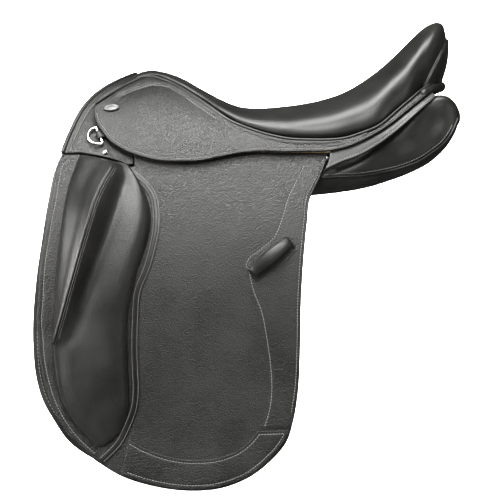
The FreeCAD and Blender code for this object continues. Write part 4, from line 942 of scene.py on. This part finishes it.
skirt_outline = run(SKIRT_FREE, [SKIRT_FREE[-1], (253.5, 148.5)], step=3.0)
skirt_outline = np.vstack([skirt_outline, beside(seam_line, -1.2)[::-1][1:-1]])
skirt = sheet(skirt_outline, SKIRT_IN, SKIRT_OUT, edge=1.5, cell=4.2, relief=skirt_relief,
              lines=[(crease[1:-1], 1.0, 1.5), (skirt_stitch[2:-4], 0.5, 1.1)])
fold_a, fold_b = (on_side(np.array([p], float), 23.5)[0][0] for p in ((-189, 105), (28, 59)))
fold_axis = (fold_b - fold_a) / np.linalg.norm(fold_b - fold_a)
fold_mid = 0.5 * (fold_a + fold_b)
_, outward = on_side(np.array([(-80.0, 82.0)]), 23.5)
down = np.cross(fold_axis, outward[0])
down *= -np.sign(down[2]) / np.linalg.norm(down)
for word, sign in SIDES:
    obj = skirt.make(f"skirt_{word}", "skirt_grain", sign)
    end = Vector(tuple((fold_mid + 13.0 * down) * MM * np.array([1, sign, 1])))
    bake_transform(obj)
    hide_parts(f"skirt_{word}", f"skirt_lobe_{word}")
skirt_thread = Piece()
side_stitches(skirt_thread, crease[2:-2], SKIRT_OUT - 0.4, SKIRT_OUT)
both(skirt_thread, "skirt_seam_thread", "thread", "saddle")
free_thread = Piece()
side_stitches(free_thread, skirt_stitch[3:-5], SKIRT_OUT - 0.15, SKIRT_OUT)
for word, sign in SIDES:
    obj = free_thread.make(f"skirt_edge_thread_{word}", "thread", sign)
    end = Vector(tuple((fold_mid + 13.0 * down) * MM * np.array([1, sign, 1])))
    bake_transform(obj)

welt_points, _ = on_side(seam_line, 25.5)
welt_rear = [(257, -52, 150.4), (260.3, -34, 150.6), (262, -15, 150.8), (262.4, 0, 150.8)]
welt_path = resample(smooth(np.vstack([welt_points[::4], welt_points[-1:], welt_rear]), 6), 2.5)
welt = tube(Piece(), welt_path, 2.1, sides=12)
both(welt, "seat_welt", "edge_leather", "saddle", ["seat_welt_{}"])

# ---- seat and cantle ------------------------------------------------------------------------------

# seam x, half width, seam z, top x, top z, squareness of the section
SEAT = [
    (-141, 52, 152, -138.5, 158.5, 2.0), (-136, 55, 154.2, -132, 162.6, 2.1), (-126, 52.5, 157, -124, 165.2, 2.2),
    (-117, 52, 159, -114, 166, 2.3), (-104, 55, 157.5, -102, 164, 2.4), (-91, 61, 151, -90, 161, 2.5),
    (-77, 69, 143, -77, 156, 2.6), (-52, 84, 127.5, -52, 142, 2.6), (-26, 104, 108.5, -26, 128, 2.6),
    (0, 119, 94, 0, 118, 2.6), (26, 129, 85, 26, 116, 2.6), (52, 135, 78.5, 52, 118, 2.6), (77, 139, 76, 77, 121, 2.6),
    (103, 139.5, 75, 103, 126, 2.6), (129, 138, 76.5, 129, 134, 2.6), (155, 133, 83, 151, 145, 2.5),
    (181, 126, 94, 178, 163.5, 2.4), (207, 108, 116, 206, 188.5, 2.3), (220, 98, 126.5, 226, 208.5, 2.2),
    (228, 87, 132.5, 246, 224.8, 2.15), (232, 81, 136, 258, 228.8, 2.1), (235, 77, 138.5, 265.3, 226.5, 2.05),
    (236.3, 75, 139.5, 269.3, 215.5, 2.0), (236.8, 74, 140, 270.8, 206, 2.0),
]
table = smooth(SEAT, 7)
across = np.linspace(0, math.pi, 57)
seat_rows = []
for x_s, half, z_s, x_t, z_t, square in table:
    rise = np.sin(across) ** (2 / square)
    sideways = -np.sign(np.cos(across)) * np.abs(np.cos(across)) ** (2 / square)
    seat_rows.append(np.stack([x_s + (x_t - x_s) * rise, half * sideways, z_s + (z_t - z_s) * rise], axis=1))
seat_rows = np.array(seat_rows)
low_rows = np.array([np.linspace(row[0], row[-1], len(row)) for row in seat_rows])
low_rows[:, 1:-1, 2] -= 0.6
seat = Piece().grid(np.concatenate([seat_rows, low_rows[:, -2:0:-1]], axis=1), closed_across=True)
ring = len(across) * 2 - 2
for first, turned in ((0, False), ((len(seat_rows) - 1) * ring, True)):
    m = len(across)
    faces = [(first + j, first + j + 1, first + ring - j - 1, first + ring - j) for j in range(1, m - 2)]
    faces += [(first, first + 1, first + ring - 1), (first + m - 2, first + m - 1, first + m)]
    seat.faces += [f if turned else tuple(reversed(f)) for f in faces]
place(seat.make("seat", "calf"), "saddle", ["seat_cover", "seat_foam"])

rim = seat_rows[-1]
FOOT_LINE = [
    (237, -75, 140), (249, -62, 145.5), (257.5, -38, 149.3), (261, -18, 150.4), (261.6, 0, 150.5), (261, 18, 150.4),
    (257.5, 38, 149.3), (249, 62, 145.5), (237, 75, 140),
]
foot_line = resample(smooth(FOOT_LINE, 8), 2.0)
wanted, given = (np.linspace(0, 1, len(line)) for line in (rim, foot_line))
foot_line = np.stack([np.interp(wanted, given, foot_line[:, i]) for i in range(3)], axis=1)
back_rows = []
for s in np.linspace(0, 1, 15):
    row = rim * (1 - s) + foot_line * s
    row[:, 0] += 0.8 + 3.4 * math.sin(math.pi * s) * np.sin(np.linspace(0, math.pi, len(rim))) ** 0.6
    back_rows.append(row)
back = shell(Piece(), back_rows, -2.2)
place(back.make("cantle_back", "calf"), "saddle", ["cantle_facing"])
rim_cord = tube(Piece(), resample(smooth((rim + np.array([0.6, 0, 0]))[1:-1:3], 5), 2.5), 1.5, sides=10)
place(rim_cord.make("cantle_cord", "edge_leather"), "saddle")
rear_line = [
    (239, -82, 131), (249, -68, 136.5), (257, -48, 140.4), (261.5, -25, 141.6), (262.6, 0, 141.8), (261.5, 25, 141.6),
    (257, 48, 140.4), (249, 68, 136.5), (239, 82, 131),
]
rear_roll = tube(Piece(), resample(smooth(rear_line, 8), 3.0) + np.array([0, 0, 2.5]), 7.2, sides=16)
place(rear_roll.make("rear_roll", "edge_leather"), "saddle")
back_thread = Piece()
for s, pull in ((0.07, 1.4), (0.93, 1.4)):
    line = rim * (1 - s) + foot_line * s
    line = line + np.array([0.9 + pull, 0, 0])
    stitches(back_thread, line[3:-3], np.tile([1.0, 0, 0], (len(line) - 6, 1)))
place(back_thread.make("cantle_thread", "thread"), "saddle")

# ---- panels ---------------------------------------------------------------------------------------

PANEL = [
    (-221, (-60, 60), (-120, 2), (-136, -6), (-74, 70)),
    (-218, (-44, 66), (-122, -22), (-150, -30), (-68, 84)), (-190, (-35, 84), (-141, -58), (-166, -66), (-58, 95)),
    (-150, (-35, 84), (-141, -56), (-166, -62), (-60, 92)), (-100, (-36, 76), (-132, -36), (-160, -40), (-68, 78)),
    (-50, (-36, 62), (-104, -4), (-148, -4), (-80, 58)), (0, (-36, 48), (-60, 2), (-142, 8), (-112, 44)),
    (50, (-36, 46), (-50, 0), (-142, 9), (-122, 44)), (100, (-36, 46), (-48, 4), (-142, 10), (-126, 42)),
    (150, (-36, 56), (-46, 10), (-136, 16), (-128, 56)), (200, (-36, 84), (-44, 22), (-120, 30), (-108, 92)),
    (225, (-36, 104), (-44, 31), (-113, 39), (-98, 114)), (250, (-36, 124), (-44, 44), (-102, 54), (-86, 133)),
    (268, (-38, 126), (-46, 61), (-95, 71), (-82, 133)), (279, (-43, 120), (-50, 79), (-88, 84), (-78, 125)),
    (284.5, (-49, 112), (-54, 93), (-80, 95), (-75, 115)), (287, (-56, 107), (-59, 98), (-72, 99), (-70, 108)),
]


def panel_ring(corners):
    """A rounded loop round the four corners of a panel's section."""
    corners = np.array(corners, float)
    middle = corners.mean(0)
    knots = []
    for k in range(4):
        corner, after = corners[k], corners[(k + 1) % 4]
        knots.append(corner + 0.10 * (middle - corner))
        half_way = (corner + after) / 2
        knots.append(half_way + 0.04 * (half_way - middle))
    return smooth(knots, 7, closed=True)


flat = np.array([[x, *sum((list(c) for c in corners), [])] for x, *corners in PANEL])
panel_rows = []
for row in resample(smooth(flat, 8), 9.0):
    ring = panel_ring(row[1:].reshape(4, 2))
    panel_rows.append(np.column_stack([np.full(len(ring), row[0]), ring]))
panel = Piece().grid(panel_rows, closed_across=True, flip=True)
ring = len(panel_rows[0])
panel.faces.append(tuple(range(ring)))
panel.faces.append(tuple(range((len(panel_rows) - 1) * ring, len(panel_rows) * ring))[::-1])
both(panel, "panel", "calf", "saddle",
     ["panel_cover_{}", "panel_flocking_{}", "panel_gusset_{}"])

GUSSET = [
    (103, 23), (130, 25), (155, 26), (181, 30), (207, 36), (233, 46), (252, 58.5), (266, 70), (277, 86), (283.5, 101),
]
net = np.array(panel_rows)


def on_panel(x, z):
    """Outer face of the panel at a place seen from the side."""
    k = int(np.clip(np.searchsorted(net[:, 0, 0], x), 1, len(net) - 1))
    share = (x - net[k - 1, 0, 0]) / max(1e-6, net[k, 0, 0] - net[k - 1, 0, 0])
    loop = net[k - 1] * (1 - share) + net[k] * share
    hits = []
    for a, b in zip(loop, np.roll(loop, -1, axis=0)):
        if (a[2] > z) != (b[2] > z):
            hits.append(a[1] + (b[1] - a[1]) * (z - a[2]) / (b[2] - a[2]))
    return (x, min(hits), z) if hits else None


gusset_line = [on_panel(x, z) for x, z in run(GUSSET, step=2.5)]
gusset_line = np.array([p for p in gusset_line if p is not None])
gusset_cord = tube(Piece(), gusset_line + np.array([0, -0.3, 0]), 1.6, sides=10)
both(gusset_cord, "gusset_cord", "edge_leather", "saddle")
gusset_thread = Piece()
above = [on_panel(x, z) for x, z in beside(run(GUSSET, step=2.5), 4.0)[2:-4]]
above = np.array([p for p in above if p is not None])
stitches(gusset_thread, above, np.tile([0, -0.96, 0.28], (len(above), 1)))
both(gusset_thread, "gusset_thread", "thread", "saddle")

# ---- keepers, chapes, badges and nails ------------------------------------------------------------


def local(x, z, offset, roll):
    """Centre, along, outward and up of a small fitting on the side curve."""
    centre, normal = on_side(np.array([(x, z)], float), offset)
    centre, normal = centre[0], normal[0]
    along, up = np.array([1.0, 0, 0]), np.cross(np.array([1.0, 0, 0]), -normal)
    up *= np.sign(up[2])
    turn = math.radians(roll)
    turned_along = along * math.cos(turn) + up * math.sin(turn)
    turned_up = up * math.cos(turn) - along * math.sin(turn)
    return centre, turned_along, normal, turned_up


centre, along, normal, up = local(40, -80, 18.7, 41.0)
keeper_rows = []


KEEPER_HALF_LENGTH = 31.0


def keeper_height(along_it):
    """The loop rises fast from each end and is nearly level on top."""
    return 5.6 * max(0.0, math.cos(math.pi * along_it / (2 * KEEPER_HALF_LENGTH))) ** 0.45


def keeper_half_width(along_it):
    """The loop is widest in its middle."""
    return 4.6 + 3.9 * math.cos(math.pi * along_it / 70)


for s in np.linspace(-KEEPER_HALF_LENGTH, KEEPER_HALF_LENGTH, 51):
    half = keeper_half_width(s)
    line = []
    for w in np.linspace(-1, 1, 13):
        crown = 0.9 * (1 - w * w)
        line.append(centre + along * s + up * (w * half) + normal * (2.4 + keeper_height(s) + crown))
    keeper_rows.append(line)
keeper = shell(Piece(), keeper_rows, -2.2)
for end in (-KEEPER_HALF_LENGTH - 1.0, KEEPER_HALF_LENGTH + 1.0):
    mouth = [centre + along * end + up * w + normal * 2.4 for w in np.linspace(-8.2, 8.2, 9)]
    tube(keeper, mouth, 1.5, sides=10)
both(keeper, "keeper", "edge_leather", "flap_{}_body", ["keeper_{}"])
keeper_thread = Piece()
for edge in (-1, 1):
    line = []
    for s in np.linspace(-27, 27, 40):
        w = edge * (keeper_half_width(s) - 1.7)
        line.append(centre + along * s + up * w + normal * (2.7 + keeper_height(s)))
    stitches(keeper_thread, line, np.tile(normal, (len(line), 1)), pitch=2.8, size=0.36)
both(keeper_thread, "keeper_thread", "thread", "flap_{}_body")

dee_centre, dee_along, dee_normal, dee_up = local(-182.5, 79, 17.6, 20.0)
chape_rows = []
profile = []
for angle in np.linspace(math.radians(70), math.radians(290), 15):
    profile.append((2.65 * math.cos(angle), 2.65 * math.sin(angle)))
profile = [(22, 1.2), (12, 1.35), (5, 1.9), *profile, (5, -1.9 + 0.1), (12, -0.55), (22, -0.5)]
profile = resample(smooth(profile, 5), 1.2)
for a, n in profile:
    chape_rows.append([dee_centre + dee_along * a + dee_normal * n + dee_up * w for w in np.linspace(-5.3, 5.3, 7)])
chape = shell(Piece(), chape_rows, 0.8)
chape_objects = both(chape, "dee_chape", "edge_leather", "saddle")
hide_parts("dee_chapes")

centre, along, normal, up = local(-167, 114, 25.4, 8.0)
badge = Piece()
turn = np.linspace(0, 2 * math.pi, 56, endpoint=False)
rings = []
BADGE_LONG, BADGE_SHORT = 10, 5.5
BADGE_STEPS = (
    (0.10, 2.2), (0.45, 2.15), (0.62, 2.0), (0.72, 1.85), (0.80, 1.95),
    (0.88, 2.25), (0.95, 2.2), (1.0, 1.7), (1.0, 0.3), (0.97, 0.0),
)
for grow, level in BADGE_STEPS:
    rings.append([
        centre + along * BADGE_LONG * grow * math.cos(t) + up * BADGE_SHORT * grow * math.sin(t) + normal * level
        for t in turn
    ])
badge.grid(rings, closed_across=True)
badge.faces.append(tuple(range(len(turn)))[::-1])
badge.faces.append(tuple(range((len(rings) - 1) * len(turn), len(rings) * len(turn))))
badge_objects = both(badge, "skirt_badge", "badge_metal", "saddle")
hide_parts("skirt_badges")

centre, along, normal, up = local(-174, 56.5, 13.0, 0.0)
nail = Piece()
rings = []
for share in np.linspace(0.12, 1.0, 8):
    radius, level = 4.2 * math.sin(share * math.pi / 2), 3.6 * math.cos(share * math.pi / 2)
    rings.append([
        centre + along * radius * math.cos(t) + up * radius * math.sin(t) + normal * (0.5 + level) for t in turn[::2]
    ])
rings.append([centre + (p - centre) * 0.94 - normal * 0.4 for p in np.array(rings[-1])])
nail.grid(rings, closed_across=True)
m = len(turn[::2])
nail.faces.append(tuple(range(m))[::-1])
nail.faces.append(tuple(range((len(rings) - 1) * m, len(rings) * m)))
nail_objects = both(nail, "saddle_nail", "chrome_plate", "saddle")
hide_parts("saddle_nails")

# ---- stage, light and camera ----------------------------------------------------------------------

scene = bpy.context.scene
floor_mesh = bpy.data.meshes.new("floor")
reach, level = 16.0, -0.42
profile = [
    (-reach, level), (12.2, level), (13.0, level + 0.08), (13.6, level + 0.4), (13.9, level + 1.0), (14.0, level + 6.0),
]
verts = [(x, y, z) for y, z in profile for x in (-reach, reach)]
faces = [(2 * k, 2 * k + 1, 2 * k + 3, 2 * k + 2) for k in range(len(profile) - 1)]
floor_mesh.from_pydata(verts, [], faces)
floor = bpy.data.objects.new("floor", floor_mesh)
COLLECTION.objects.link(floor)
floor_mat, nodes, links, shader = material("studio_paper", (0.93, 0.93, 0.92), 0.9)
floor.data.materials.append(floor_mat)
floor.visible_glossy = False

world = bpy.data.worlds.new("studio")
scene.world = world
world.use_nodes = True
wn, wl = world.node_tree.nodes, world.node_tree.links
sky = wn.new("ShaderNodeTexCoord")
split = wn.new("ShaderNodeSeparateXYZ")
wl.new(sky.outputs["Generated"], split.inputs[0])
high = wn.new("ShaderNodeMapRange")
wl.new(split.outputs["Z"], high.inputs["Value"])
for key, value in zip(("From Min", "From Max", "To Min", "To Max"), (-0.2, 1.0, 0.05, 0.14)):
    high.inputs[key].default_value = value
wl.new(high.outputs["Result"], wn["Background"].inputs["Strength"])
wn["Background"].inputs["Color"].default_value = (1, 1, 1, 1)


def lamp(name, place_, target, size, power, size_y=None):
    data = bpy.data.lights.new(name, "AREA")
    data.shape = "RECTANGLE"
    data.size, data.size_y = size, size_y or size
    data.energy = power
    obj = bpy.data.objects.new(name, data)
    COLLECTION.objects.link(obj)
    obj.location = place_
    obj.rotation_mode = "QUATERNION"
    obj.rotation_quaternion = (Vector(target) - Vector(place_)).to_track_quat("-Z", "Y")
    return obj


lamp("key_softbox", (-0.9, -1.5, 2.3), (-0.05, -0.15, 0), 0.8, 58)
lamp("sheen_softbox", (0.15, -2.4, 1.75), (0, -0.2, 0.0), 1.3, 60, 1.0)
lamp("top_softbox", (0.25, -0.45, 2.0), (0.05, -0.1, 0), 1.3, 46, 0.8)
lamp("side_strip", (2.1, -1.3, 0.5), (0.15, -0.1, 0.05), 0.4, 7, 1.4)
lamp("left_strip", (-2.1, -1.0, 0.35), (-0.2, -0.2, 0), 1.4, 66, 1.0)
lamp("low_fill", (-1.6, -2.2, 0.1), (-0.1, -0.2, -0.1), 0.5, 5, 0.9)
backdrop_wash = lamp("backdrop_wash", (0, 11.6, 2.4), (0, 14.0, 0.1), 3.4, 640, 0.8)
floor_wash = lamp("floor_wash", (0, 6.6, 2.6), (0, 6.6, -0.42), 2.6, 800, 9.6)
for wash in (backdrop_wash, floor_wash):
    wash.visible_glossy = False

camera_data = bpy.data.cameras.new("camera")
camera = bpy.data.objects.new("camera", camera_data)
COLLECTION.objects.link(camera)
scene.camera = camera
DISTANCE, FIELD = 10.0, 0.646
camera.location = (0.0129, -0.16 - DISTANCE, -0.0698)
camera.rotation_mode = "QUATERNION"
camera.rotation_quaternion = Vector((0, 1, 0)).to_track_quat("-Z", "Y")
camera_data.sensor_width = 36
camera_data.lens = 36 * DISTANCE / FIELD
camera_data.clip_end = 50

scene.view_settings.view_transform = "Standard"
scene.view_settings.exposure = 0.5
scene.view_settings.gamma = 0.8
